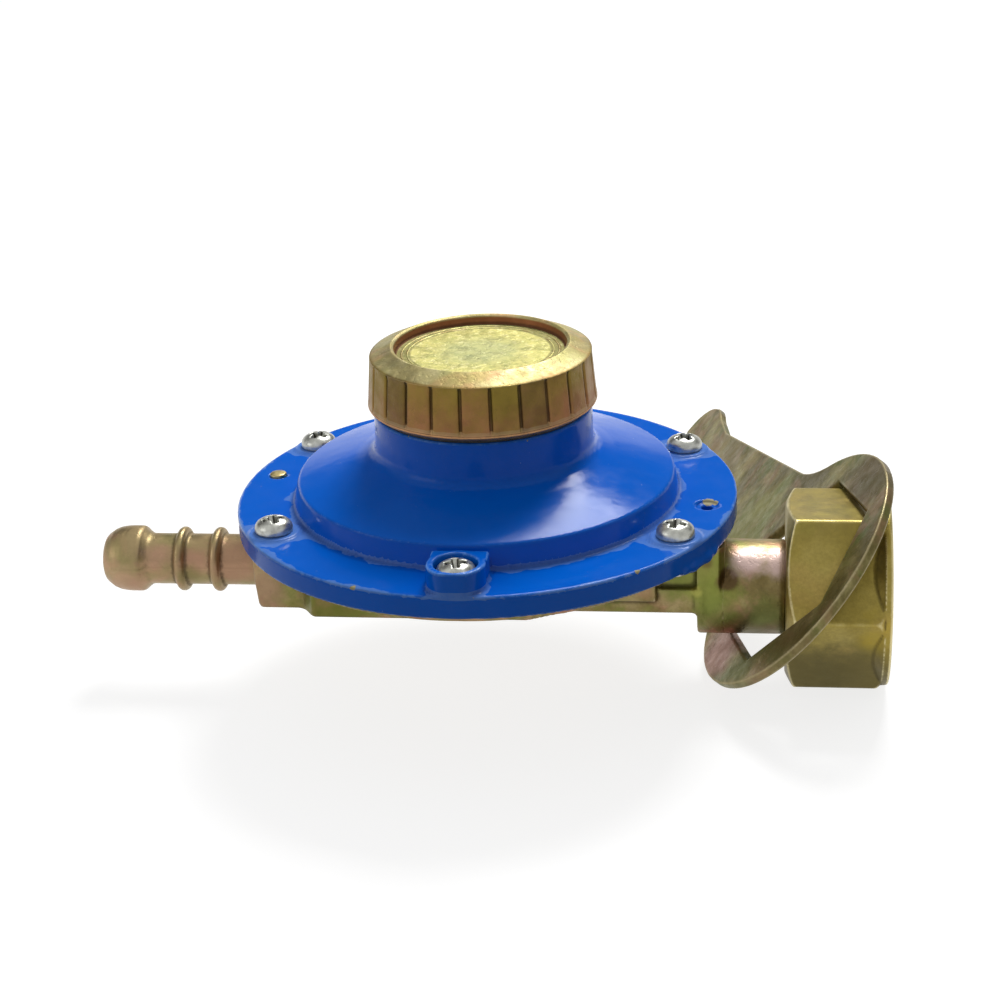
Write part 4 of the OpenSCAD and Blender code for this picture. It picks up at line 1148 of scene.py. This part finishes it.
@dataclass
class Castings:
    """The plated lower casting: dish, blocks, bar, elbow boss and hose barb."""

    bar: float = 7.0
    block: float = 10.0
    bottom: float = -17.25
    valve_z: float = -13.0
    barb_z: float = -12.2
    tip: float = -60.75
    ribs: tuple[float, ...] = (-48.3, -42.6)
    pitch: float = 0.42

    def barb_section(self) -> Outline:
        """The half section of the hose barb, from its tip to inside the block."""
        r, s, t = 5.15, 3.975, self.tip
        return [(0, t), *arc(2.75, t + 1.5, 1.5, -90, -35, 6), (4.6, t + 1.5), (4.95, t + 2.4), (r - 0.04, t + 3.3),
                (r, t + 4), (r, t + 5.4), *arc(r - 1.0, t + 5.6, 1.0, 0, 55, 5), (s + 0.14, t + 7.15), (s, t + 7.6),
                (s, -34), (0, -34)]

    def rib(self, x: float) -> Field:
        """A rounded rib round the barb."""

        def distance(p: np.ndarray) -> np.ndarray:
            out = np.hypot(p[:, 1], p[:, 2] - self.barb_z) - 4.3
            return np.hypot(out, p[:, 0] - x) - 0.74

        return distance

    def solid(self) -> Field:
        """The whole casting as a field."""
        b, w, z = self.block, self.bar, self.bottom
        dish = turned(rounded([
            (36, -2.8, 0.2), (36, -4.5, 0.3), (33, -5.7, 2), (26, -8.6, 4), (20, -10.6, 3), (15, -12.2, 1), (0, -12.2),
            (0, -2.8)]), 2)
        left = prism(rounded([
            (-35.9, -4.9, 0.3), (-35.7, -13.2, 1.5), (-35.3, -16.6, 0.3), (-34.9, z, 0.5), (-20, z), (-20, -4.9)]),
            1, -w, w, 0.35)
        middle = prism(rounded([
            (-28.3, -w, 0.4), (-26.3, -b, 0.8), (6.7, -b, 0.8), (12.4, -w, 0.4), (12.4, w, 0.4), (6.7, b, 0.8),
            (-26.3, b, 0.8), (-28.3, w, 0.4)]), 2, z, -8, 0.35)
        foot = block((8, -w, z + 0.2), (32.9, w, -13.0), 0.35)
        rib = block((8, -w + 0.8, z + 1), (32.9, w - 0.8, -6.4), 0.3)
        lug = block((8, -w - 0.7, -14.9), (25.9, w + 0.7, -8.5), 0.35)
        boss_side = prism(rounded([
            (31.95, -5, 0.3), (36.12, -5, 0.3), (36.12, -23, 0.3), (31.95, -23, 3.2)], 8), 1, -12, 12)
        shoulder = prism(rounded([
            (31, -w), (35.3, -w, 0.3), (37, -w + 2.3, 0.5), (37, w - 2.3, 0.5), (35.3, w, 0.3), (31, w)]),
            2, INLET_Z, -6.4, 0.1)
        boss = joined(0.3, rod(0, (0, 0, INLET_Z), w + 0.24, 31, 37), shoulder)
        boss = shared(0.15, boss, boss_side)
        barb = joined(0.7, turned(self.barb_section(), 0, (0, 0, self.barb_z)), *[self.rib(x) for x in self.ribs])
        line = block((self.tip + 1.6, -5.2, self.barb_z - 0.12), (-36, 5.2, self.barb_z + 0.12), 0.1)
        thick = turned([(y + 0.04, z) for y, z in self.barb_section()], 0, (0, 0, self.barb_z))
        barb = joined(0.2, barb, shared(0.1, line, thick))
        solid = joined(0.7, dish, left, middle, foot, rib, lug)
        solid = joined(0.8, solid, boss)
        return joined(0.8, solid, barb)

    def ways(self) -> list[Field]:
        """The chamber, the pockets, the bores and the screw holes."""
        z = self.valve_z
        tools = [
            turned([(31, -2.79), (31, -2.8), (30, -4.1), (24, -6.4), (17.5, -8.5), (16, -8.8), (0, -8.8), (0, -2.0),
                    (31, -2.0)], 2),
            block((-14, -3.4, -9.9), (4.4, 3.4, -7.8), 0), rod(2, (0, 0, 0), 4, -9.9, -7.9),
            block((-12.2, -1.9, z), (-7.8, 1.9, -8.3), 0), rod(0, (0, 0, z), 2.95, -16, 2),
            rod(2, (2, 0, 0), 3.6, -16, -8),
            rod(0, (0, 0, z), 3.02, 2, 15), rod(0, (0, 0, z), 1.75, 14, 33), rod(0, (0, 0, INLET_Z), 4.62, 33, 37),
            rod(1, (-10, 0, -10.3), 0.82, -4.6, 4.6), rod(2, (-24.5, 0, 0), 2.5, self.barb_z, -4.2),
            rod(0, (0, 0, self.barb_z), 2.5, self.tip - 2, -23)]
        tools += [rod(2, screw_spot(i), 1.52, -12, 0) for i in range(SCREW_COUNT)]
        return [*tools, rod(2, polar(SCREW_RING + 0.15, PIN_TURN), 1.32, -4.3, 0)]

    def build(self, paints: Paints) -> None:
        """Casts and dresses the lower casting."""
        solid = without(0.15, self.solid(), *self.ways())
        skin = Caster(solid, (self.tip, -36, -23), (36.2, 36, -2.8), self.pitch).skin()
        paints.dress(piece_from("lower_casting", skin), Slot.CASTING, "housing", "lower_body")


@dataclass
class Cap:
    """The ribbed screw cap and its gasket, whose black ring also stands in for the shadow line under the cap."""

    height: float = 9.45
    radius: float = 17.0
    top_r: float = 16.5
    dish_r: float = 12.75
    dish: float = 1.5
    bore_r: float = 15.0
    gasket_z: float = 13.92
    groove: float = 0.46
    depth: float = 0.42
    run_out: float = 0.25

    def section(self) -> Outline:
        """The half section, once round."""
        z, t = CAP_LOW, CAP_LOW + self.height
        g, d = self.dish_r, CAP_LOW + self.height - self.dish
        r, bore, under = self.radius, self.bore_r, d - 1.8
        return rounded([
            (bore, z, 0.15), (r - 0.7, z, 0.3), (r + 0.15, z + 0.6, 0.25), (r + 0.1, z + 1.0, 0.15),
            (self.top_r, t - 1.4, 0.16), (g + 0.55, t, 0.35), (g + 0.12, t - 0.25, 0.2), (g - 0.1, d, 0.3),
            (g - 0.9, d + 0.02, 0.2), (g - 1.05, d + 0.09, 0.1), (g - 1.2, d, 0.2), (g - 1.75, d, 0.2),
            (g - 1.9, d + 0.08, 0.1), (g - 2.05, d, 0.2), (0, d), (0, under), (bore, under, 0.3)], 6)

    def columns(self) -> np.ndarray:
        """Angles of the columns, close together at each groove."""
        period = 2 * math.pi / CAP_RIBS
        edge = self.groove / self.radius
        near = np.array([-1.0, -0.62, -0.5, -0.4, -0.25, 0.0, 0.25, 0.4, 0.5, 0.62, 1.0]) * edge
        far = np.linspace(edge, period - edge, 14)[1:-1]
        one = np.concatenate([near, far])
        return np.sort(np.concatenate([one + period * i for i in range(CAP_RIBS)]))

    @staticmethod
    def refined(section: Outline, longest: float) -> Outline:
        """The same section with no step longer than a length."""
        made: Outline = []
        for (ax, ay), (bx, by) in zip(section, section[1:] + section[:1]):
            steps = max(1, int(math.hypot(bx - ax, by - ay) / longest))
            made += [(ax + (bx - ax) * i / steps, ay + (by - ay) * i / steps) for i in range(steps)]
        return made

    def grooved(self, piece: bpy.types.Object, finish: bpy.types.Material) -> bpy.types.Object:
        """Presses the grip grooves into the cap's wall with a node tree.

        Args:
            piece: the turned cap.
            finish: the material that the tree sets.
        Returns:
            The finished cap.
        """
        b, put, end = new_group("grip_grooves", "GeometryNodeTree", {
            "Geometry": "Geometry", "Count": 22.0, "Width": 0.0005, "Depth": 0.00045, "Low": 0.0, "High": 0.01,
            "Inner Radius": 0.0155, "Flat": 0.5, "Phase": 0.0, "Finish": "Material"}, ["Geometry: Geometry"])
        place = b.put("GeometryNodeInputPosition").outputs[0]
        x, y, _ = b.put("ShaderNodeSeparateXYZ", {0: b.vector("SUBTRACT", place, in_frame((0, 0, 0)))}).outputs
        height = b.put("ShaderNodeSeparateXYZ", {0: place}).outputs[2]
        radius = b.hypot(x, y)
        turn = b.less(b.math("ARCTAN2", y, x), put["Phase"])
        period = b.math("DIVIDE", 2 * math.pi, put["Count"])
        share = b.less(b.math("FRACT", b.plus(b.math("DIVIDE", turn, period), 0.5)), 0.5)
        across = b.math("ABSOLUTE", b.times(b.times(share, period), radius))
        half = b.times(put["Width"], 0.5)
        dip = b.ramp(across, b.times(half, 0.45), b.times(half, 1.15), 1.0, 0.0)
        above = b.ramp(height, put["Low"], b.plus(put["Low"], self.run_out * MM))
        below = b.ramp(height, b.less(put["High"], self.run_out * MM), put["High"], 1.0, 0.0)
        outer = b.ramp(radius, put["Inner Radius"], b.plus(put["Inner Radius"], 0.3 * MM), kind="LINEAR")
        zone = b.times(b.times(above, below), outer)
        inward = b.times(b.times(dip, zone), put["Depth"])
        bow = b.less(1.0, b.math("COSINE", b.times(b.less(b.math("ABSOLUTE", share), 0.5), period)))
        sag = b.less(1.0, b.math("COSINE", b.times(0.5, period)))
        flat = b.times(b.times(b.less(sag, bow), radius), b.times(put["Flat"], zone))
        move = b.less(b.times(flat, -1.0), inward)
        way = b.vector("NORMALIZE", b.put("ShaderNodeCombineXYZ", {0: x, 1: y, 2: 0.0}).outputs[0])
        shifted = b.put("GeometryNodeSetPosition", {"Geometry": put["Geometry"], "Offset": b.scaled(way, move)})
        finish_tree(b, shifted.outputs[0], put, end)
        low = (CAP_LOW + HEART[2]) * MM
        return applied(piece, b.tree, {
            "Count": float(CAP_RIBS), "Width": self.groove * MM * 1.3, "Depth": self.depth * MM,
            "Low": low + 1.1 * MM, "High": low + (self.height - 1.42) * MM, "Inner Radius": 15.6 * MM, "Flat": 0.6,
            "Phase": CAP_PHASE, "Finish": finish})

    def build(self, paints: Paints) -> None:
        """Turns, grooves and dresses the cap and the gasket."""
        section = self.refined(self.section(), 0.55)
        raw = piece_from("cap_turned", lathe(section, self.columns() + CAP_PHASE))
        made = self.grooved(raw, paints.by_slot[Slot.CAP])
        made.name = "ribbed_cap"
        paints.dress(made, Slot.CAP, "cap", "bonnet_cap")
        # The thin black ring under the cap is partly a seal and partly a painted shadow line
        z, top = self.gasket_z, self.gasket_z + 0.34
        ring = rounded([(14.75, z, 0.1), (16.1, z, 0.1), (16.1, top, 0.1), (14.75, top, 0.1)], 3)
        made = piece_from("gasket_ring", lathe(ring, once_round(128)))
        paints.dress(made, Slot.RUBBER, "gasket", "cap_gasket")


def finish_tree(b: Board, shape: Socket, put: bpy.types.bpy_prop_collection, end: bpy.types.Node) -> None:
    """Ends a geometry tree: the shape made real and given the finish that comes in."""
    made = b.put("GeometryNodeRealizeInstances", {0: shape}).outputs[0]
    b.feed(end, {0: b.put("GeometryNodeSetMaterial", {"Geometry": made, "Material": put["Finish"]}).outputs[0]})


def applied(piece: bpy.types.Object, tree: bpy.types.NodeTree, values: dict) -> bpy.types.Object:
    """Runs a geometry node tree on a piece and keeps the result as a plain mesh.

    Args:
        piece: the object that it starts from; it is removed.
        tree: the tree.
        values: what goes into its inputs, by label.
    Returns:
        The object with the finished mesh.
    """
    modifier = piece.modifiers.new("shape", "NODES")
    modifier.node_group = tree
    for item in tree.interface.items_tree:
        if item.in_out == "INPUT" and item.name in values:
            modifier[item.identifier] = values[item.name]
    graph = bpy.context.evaluated_depsgraph_get()
    mesh = bpy.data.meshes.new_from_object(piece.evaluated_get(graph), depsgraph=graph)
    piece.modifiers.clear()
    made = into_scene(piece.name + "_made", mesh)
    bpy.data.objects.remove(piece)
    for name in ("custom_normal", RIDGE):
        if name in mesh.attributes:
            mesh.attributes.remove(mesh.attributes[name])
    mesh.polygons.foreach_set("use_smooth", [True] * len(mesh.polygons))
    mesh.update()
    normals = np.empty(len(mesh.vertices) * 3)
    mesh.vertex_normals.foreach_get("vector", normals)
    ridge_of(mesh, normals.reshape(-1, 3))
    return made


@dataclass
class Fasteners:
    """The cover screws, set out by a node tree, and the locating pin."""

    head_r: float = 2.8
    head_h: float = 2.1
    shank_r: float = 1.48
    length: float = 6.0
    pitch: float = 0.115
    turns: tuple[float, ...] = (12, 75, 40, -20, 63, 28)

    def solid(self) -> Field:
        """One pan head screw with a cross recess, its seat at the origin."""
        r, h = self.head_r, self.head_h
        dome = [(r * math.cos(t) ** 0.82, 0.4 + (h - 0.4) * math.sin(t) ** 0.82)
                for t in np.linspace(0, math.pi / 2 - TINY, 15)]
        head = turned([(0, 0), (r - 0.15, 0), (r, 0.12), *dome, (0, h)], 2)
        shank = rod(2, (0, 0, 0), self.shank_r, -self.length, 0.3, 0.3)

        def wing(turn: float) -> Field:
            c, s = math.cos(turn), math.sin(turn)

            def distance(p: np.ndarray) -> np.ndarray:
                u, v = p[:, 0] * c + p[:, 1] * s, -p[:, 0] * s + p[:, 1] * c
                sink = np.maximum(h - p[:, 2], 0)
                across = np.abs(v) - (0.5 - 0.08 * sink)
                along = np.abs(u) - (1.7 - 0.6 * sink)
                return np.maximum(np.maximum(across, along), (h - 1.55) - p[:, 2]) * 0.85

            return distance

        centre = turned([(0, h - 1.7), (0.55, h - 1.3), (0.8, h + 1), (0, h + 1)], 2)
        return without(0.14, joined(0.1, head, shank), joined(0.25, wing(0), wing(math.pi / 2), centre))

    def set_out(self, screw: bpy.types.Object, finish: bpy.types.Material) -> bpy.types.Object:
        """Puts a screw at each place with a node tree.

        Args:
            screw: the screw at the origin.
            finish: the material that the tree sets.
        Returns:
            All the screws as one mesh.
        """
        seats = bpy.data.meshes.new("screw_seats")
        heights = [Bonnet.cup_seat] + [Bonnet.pad_h] * (SCREW_COUNT - 1)
        seats.from_pydata([in_frame((*screw_spot(i), z)) for i, z in enumerate(heights)], [], [])
        turn = seats.attributes.new("turn", "FLOAT", "POINT")
        turn.data.foreach_set("value", [math.radians(t) for t in self.turns])
        base = into_scene("cover_screw_set", seats)
        b, put, end = new_group("screws_on_seats", "GeometryNodeTree", {
            "Geometry": "Geometry", "Screw": "Object", "Tilt": "Float", "Seed": "Int", "Finish": "Material",
        }, ["Geometry: Geometry"])
        shape = b.put("GeometryNodeObjectInfo", {"Object": put["Screw"]}).outputs["Geometry"]
        angle = b.put("GeometryNodeInputNamedAttribute", {"Name": "turn"}, data_type="FLOAT").outputs[0]
        lean = b.put("FunctionNodeRandomValue", {2: b.times(put["Tilt"], -1.0), 3: put["Tilt"], "Seed": put["Seed"]},
                     data_type="FLOAT").outputs[1]
        rotation = b.put("ShaderNodeCombineXYZ", {0: lean, 1: 0.0, 2: angle}).outputs[0]
        copies = b.put("GeometryNodeInstanceOnPoints", {
            "Points": put["Geometry"], "Instance": shape, "Rotation": rotation})
        finish_tree(b, copies.outputs[0], put, end)
        made = applied(base, b.tree, {"Screw": screw, "Tilt": math.radians(0.7), "Seed": 4, "Finish": finish})
        bpy.data.objects.remove(screw)
        return made

    def build(self, paints: Paints) -> None:
        """Makes and dresses the screws and the pin."""
        r = self.head_r
        skin = Caster(self.solid(), (-r, -r, -self.length), (r, r, self.head_h), self.pitch).skin()
        skin.points = skin.points - HEART
        screw = piece_from("screw_pattern", skin)
        made = self.set_out(screw, paints.by_slot[Slot.SCREW])
        made.name = "cover_screw_heads"
        paints.dress(made, Slot.SCREW, "housing", "cover_screws")
        section = rounded([(0, -4.2), (1.3, -4.2, 0.2), (1.3, 0.38, 0.25), (0.5, 0.5, 0.5), (0, 0.5)], 4)
        skin = lathe(section, once_round(48))
        skin.points = skin.points + np.array([*polar(SCREW_RING, PIN_TURN), 0])
        paints.dress(piece_from("locating_stud", skin), Slot.BRASS, "housing", "locating_pin")


@dataclass
class Inlet:
    """The tail and the union nut, with its cut thread."""

    left: float = 45.05
    mouth: float = 60.55
    flats: float = 26.75
    rest_turn: float = -4.4
    bore_r: float = 9.75
    rim_r: float = 14.65
    pitch_of_thread: float = 1.814
    thread_depth: float = 1.0
    pitch: float = 0.26

    def nut(self) -> Field:
        """The nut as a field."""
        half = self.flats / 2
        corner = half / math.cos(math.pi / 6)
        c, s = polar(1, self.rest_turn)
        left, mouth, cone = self.left, self.mouth, self.mouth - 2.9

        def hexagon(p: np.ndarray) -> np.ndarray:
            y, z = p[:, 1], p[:, 2] - INLET_Z
            u, v = y * c + z * s, -y * s + z * c
            made = None
            for a, b in HEXAGON:
                side = half - np.abs(u * a + v * b)
                made = side if made is None else soft_min(made, side, 0.45)
            return np.maximum(-made, past_ends(p[:, 0], left, mouth - 0.5))

        centre = (0, 0, INLET_Z)
        limit = turned([
            (0, left), (half - 0.6, left), (corner + 0.1, left + 1.45), (corner + 0.1, cone + 0.99),
            (self.rim_r, mouth - 1.1), (self.rim_r, mouth), (0, mouth)], 0, centre)
        rim = turned(rounded([
            (0, cone), (half - 0.3, cone, 0.3), (self.rim_r, mouth - 1.1, 0.3), (self.rim_r, mouth, 0.35),
            (0, mouth)]), 0, centre)
        solid = joined(0.25, shared(0.3, hexagon, limit), rim)

        def thread(p: np.ndarray) -> np.ndarray:
            y, z = p[:, 1], p[:, 2] - INLET_Z
            radius, around = np.hypot(y, z), np.arctan2(z, y) / (2 * math.pi)
            wave = np.abs(((p[:, 0] / self.pitch_of_thread + around) % 1) * 2 - 1)
            fade = np.clip((p[:, 0] - left - 6.5) / 1.5, 0, 1)
            depth = self.thread_depth * np.clip(wave * 1.25 - 0.12, 0, 1) * fade
            past = np.maximum(left + 3 - p[:, 0], p[:, 0] - mouth - 1)
            return np.maximum((radius - self.bore_r - depth) * 0.62, past)

        entry = turned([
            (0, mouth - 1.3), (self.bore_r, mouth - 1.3), (self.bore_r + 1.5, mouth + 0.1),
            (0, mouth + 0.1)], 0, centre)
        relief = rod(0, centre, self.bore_r + 0.7, left + 3, left + 7.6)
        way = rod(0, centre, 7.25, left - 1, mouth)
        return without(0.12, solid, way, thread, relief, entry)

    def tail_section(self) -> Outline:
        """Half section of the tail: spigot, barrel, collar and bore."""
        return rounded([
            (2.5, 33.02, 0.1), (4.6, 33.02, 0.2), (4.6, 34.6), (7.22, 34.6), (7.22, 44.9), (7.0, 45.1), (7.0, 48.35),
            (8.8, 48.35, 0.2), (9.2, 48.75, 0.2), (9.2, 50.55, 0.2), (3.17, 50.55, 0.1), (3.17, 48.5), (2.5, 48.5)], 4)

    def build(self, paints: Paints) -> None:
        """Makes and dresses the tail and the nut."""
        r = self.flats / 2 / math.cos(math.pi / 6)
        low, high = (self.left, -r, INLET_Z - r), (self.mouth, r, INLET_Z + r)
        skin = Caster(self.nut(), low, high, self.pitch).skin()
        paints.dress(piece_from("hexagon_nut", skin), Slot.NUT, "nut", "union_nut")
        section = Cap.refined(self.tail_section(), 0.8)
        skin = lathe(section, once_round(144))

        def along_x(points: np.ndarray, direction: bool) -> np.ndarray:
            made = points[:, [2, 0, 1]].copy()
            if not direction:
                made[:, 2] += INLET_Z
            return made

        paints.dress(piece_from("inlet_pipe", skin, along_x), Slot.CASTING, "housing", "inlet_tail")


@dataclass
class Spanner:
    """The flat stamped spanner."""

    flats: float = 28.4
    ring_r: float = 20.85
    offset: float = 0.7
    thick: float = 1.5
    taper: float = 0.55
    edge_r: float = 0.28
    root_w: float = 11.1
    neck_w: float = 5.3
    neck: float = 67.0
    length: float = 79.0
    end_r: float = 7.05
    fillet: float = 14.0
    place: tuple[float, float, float] = (46.279, -1.651, -11.788)
    turn: tuple[float, float, float] = (130.15, 6.74, 102.68)
    pitch: float = 0.3

    def handle(self) -> Outline:
        """The handle's outline with its two fillets against the ring."""
        slope_in = (self.neck_w - self.root_w) / (self.neck - 20)
        a = math.atan(-slope_in)
        d = (self.root_w + slope_in * (self.offset - 20)) * math.cos(a) + self.fillet
        s = math.sqrt((self.ring_r + self.fillet) ** 2 - d * d)
        cx, cy = d * math.sin(a) + s * math.cos(a), d * math.cos(a) - s * math.sin(a)
        bend = arc(cx, cy, self.fillet, 180 + math.degrees(math.atan2(cy, cx)), 270 - math.degrees(a), 14)
        k = (self.ring_r - 0.3) / (self.ring_r + self.fillet)
        upper = [(x + self.offset, y) for x, y in ((cx * k, cy * k), *bend[1:])]
        upper += [(self.neck, self.neck_w), (self.length, self.end_r - 0.15)]
        return [(self.offset, 0), *upper, *[(x, -y) for x, y in reversed(upper)]]

    def solid(self) -> Field:
        """The sheet as a field, flat in X and Y with its face at 0."""
        handle = self.handle()
        half = self.flats / 2

        def distance(p: np.ndarray) -> np.ndarray:
            x, y = p[:, 0], p[:, 1]
            flat = np.hypot(x - self.offset, y) - self.ring_r
            flat = np.minimum(flat, outline_distance(x, y, handle))
            flat = soft_min(flat, np.hypot(x - self.length, y) - self.end_r, 1.0)
            torn = half - self.taper * np.clip(p[:, 2] / self.thick, 0, 1)
            hole = np.max([np.abs(x * a + y * b) - torn for a, b in HEXAGON], axis=0)
            flat = -soft_min(-flat, hole, 0.1)
            return sheet(flat, past_ends(p[:, 2], 0, self.thick), self.edge_r)

        return distance

    def build(self, paints: Paints) -> None:
        """Cuts, places and dresses the spanner."""
        r = self.ring_r + 0.15
        skin = Caster(self.solid(), (-r, -r, 0), (self.length + self.end_r, r, self.thick), self.pitch).skin()
        x, y, z = (math.radians(t) for t in self.turn)
        rotation = np.array(Matrix.Rotation(z, 3, "Z") @ Matrix.Rotation(y, 3, "Y") @ Matrix.Rotation(x, 3, "X"))

        def placed(points: np.ndarray, direction: bool) -> np.ndarray:
            made = points @ rotation.T
            return made if direction else made + np.array(self.place)

        paints.dress(piece_from("flat_spanner", skin, placed), Slot.SHEET, "loose_spanner", "spanner")


@dataclass
class Works:
    """The pieces inside, which keep their CAD shapes and get a finish."""

    finishes: dict[str, Slot] = field(default_factory=lambda: {
        "diaphragm": Slot.RUBBER, "upper_diaphragm_plate": Slot.STEEL, "lower_diaphragm_plate": Slot.STEEL,
        "diaphragm_stem": Slot.BRASS, "stem_nut": Slot.STEEL, "main_spring": Slot.STEEL, "spring_seat": Slot.STEEL,
        "adjusting_screw": Slot.CASTING, "lever": Slot.STEEL, "lever_pin": Slot.STEEL, "valve_plunger": Slot.BRASS,
        "seat_disc": Slot.RUBBER, "inlet_nozzle": Slot.BRASS, "inlet_filter": Slot.STEEL, "tail_seal": Slot.RUBBER})

    def build(self, paints: Paints) -> None:
        """Gives each node its material."""
        for name, slot in self.finishes.items():
            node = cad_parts[name]
            node.data.materials.clear()
            node.data.materials.append(paints.by_slot[slot])
            LOG.info("%s: %s", name, slot.value)
        self.spring(paints)

    def spring(self, paints: Paints) -> None:
        """Puts in a copy of the main spring in place of the CAD node."""
        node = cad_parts["main_spring"]
        mesh = node.data.copy()
        mesh.transform(node.matrix_world)
        made = into_scene("pressure_spring", mesh)
        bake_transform(made)
        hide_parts("main_spring")
        LOG.info("%s: %d faces between housing and adjuster_seat", made.name, len(mesh.polygons))


# ---------------------------------------------------------------- Studio


@dataclass
class Studio:
    """Floor, light and camera; the camera's angles are in radians, its lengths in mm and in pixels."""

    middle: float = 500
    elevation: float = 0.4012
    roll: float = -0.0436
    azimuth: float = -0.1346
    lens: float = 75.6
    focal: float = 2100.0
    distance: float = 319.33
    centre: tuple[float, float] = (486.9, 489.5)

    def camera(self) -> None:
        """Sets the camera up."""
        e, w = self.elevation, self.roll
        right, back = np.array([1.0, 0, 0]), np.array([0, -math.cos(e), math.sin(e)])
        up = np.array([0, math.sin(e), math.cos(e)])
        r2, u2 = math.cos(w) * right + math.sin(w) * up, -math.sin(w) * right + math.cos(w) * up
        aside, above = ((c - self.middle) * self.distance / self.focal for c in self.centre)
        spot = u2 * above - r2 * aside + back * self.distance
        turn = Matrix.Rotation(-self.azimuth, 3, "Z")
        spot = in_frame(turn @ Vector(spot))
        pose = Matrix((turn @ Vector(r2), turn @ Vector(u2), turn @ Vector(back))).transposed().to_4x4()
        pose.translation = Vector(spot)
        data = bpy.data.cameras.new("camera")
        data.lens, data.sensor_width = self.lens, 36.0
        data.clip_start, data.clip_end = 0.01, 20
        camera = into_scene("camera", data)
        camera.matrix_world = pose
        bpy.context.scene.camera = camera

    @staticmethod
    def lamp(name: str, place: Sequence[float], size: float, power: float) -> None:
        """A square soft lamp that faces the object."""
        data = bpy.data.lights.new(name, "AREA")
        data.size, data.energy = size, power
        lamp = into_scene(name, data)
        lamp.location = place
        lamp.rotation_euler = (Vector((-0.05, 0, 0)) - Vector(place)).to_track_quat("-Z", "Y").to_euler()

    @staticmethod
    def floor(height: float) -> None:
        """A wide pale floor that shows white and keeps the shadow."""
        mesh = bpy.data.meshes.new("floor")
        r = 3.0
        mesh.from_pydata([(-r, -r, height), (r, -r, height), (r, r, height), (-r, r, height)], [], [(0, 1, 2, 3)])
        floor = into_scene("floor", mesh)
        material = bpy.data.materials.new("pale_floor")
        material.use_nodes = True
        b = Board(material.node_tree)
        nodes = material.node_tree.nodes
        nodes.remove(nodes["Principled BSDF"])
        path = b.put("ShaderNodeLightPath").outputs
        seen = b.math("MAXIMUM", path["Is Camera Ray"], path["Is Glossy Ray"])
        seen = b.math("MAXIMUM", seen, path["Is Transmission Ray"])
        diffuse = b.put("ShaderNodeBsdfDiffuse", {"Color": (0.3, 0.3, 0.3)}).outputs[0]
        glow = b.put("ShaderNodeEmission", {"Color": (1.0, 1.0, 1.0), "Strength": b.times(seen, 0.8)}).outputs[0]
        total = b.put("ShaderNodeAddShader", {0: diffuse, 1: glow}).outputs[0]
        b.tree.links.new(total, nodes["Material Output"].inputs["Surface"])
        mesh.materials.append(material)
        floor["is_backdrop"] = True

    @staticmethod
    def world() -> None:
        """A pale room, darker behind the camera."""
        world = bpy.data.worlds.new("room")
        bpy.context.scene.world = world
        world.use_nodes = True
        b = Board(world.node_tree)
        way = b.put("ShaderNodeTexCoord").outputs["Generated"]
        x, y, z = b.put("ShaderNodeSeparateXYZ", {0: way}).outputs
        path = b.put("ShaderNodeLightPath").outputs
        even = b.ramp(y, -0.8, 0.6, 0.22, 0.58)
        sky = b.ramp(z, 0.6, 0.95, 0.1, 0.4)
        back = b.math("MAXIMUM", b.ramp(z, 0.19, 0.27, 0.95, 0.0), sky)
        room = b.put("ShaderNodeMix", {0: b.ramp(y, 0.05, 0.45), 2: 0.75, 3: back}, data_type="FLOAT").outputs[0]
        lit = b.put("ShaderNodeMix", {0: path["Is Glossy Ray"], 2: even, 3: room}, data_type="FLOAT").outputs[0]
        seen = b.math("MAXIMUM", path["Is Camera Ray"], path["Is Transmission Ray"])
        strength = b.math("MAXIMUM", lit, seen)
        background = world.node_tree.nodes["Background"]
        background.inputs["Color"].default_value = (1, 1, 1, 1)
        b.tree.links.new(strength, background.inputs["Strength"])

    def build(self, height: float) -> None:
        """Builds the set."""
        self.camera()
        self.world()
        self.floor(height)
        self.lamp("top_back_lamp", (0.03, 0.39, 0.55), 0.23, 3.6)
        self.lamp("left_lamp", (-0.7, -0.35, 0.35), 0.4, 0.7)
        bpy.context.scene.view_settings.view_transform = "Standard"


def main() -> None:
    """Builds every sub-assembly in order."""
    logging.basicConfig(level=logging.INFO, format="%(name)s: %(message)s")
    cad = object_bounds()
    paints = Paints()
    for part in (Bonnet(), Castings(), Cap(), Fasteners(), Inlet(), Spanner(), Works()):
        part.build(paints)
    Studio().build(cad[0].z - 0.0002)


if __name__ == "__main__":
    main()
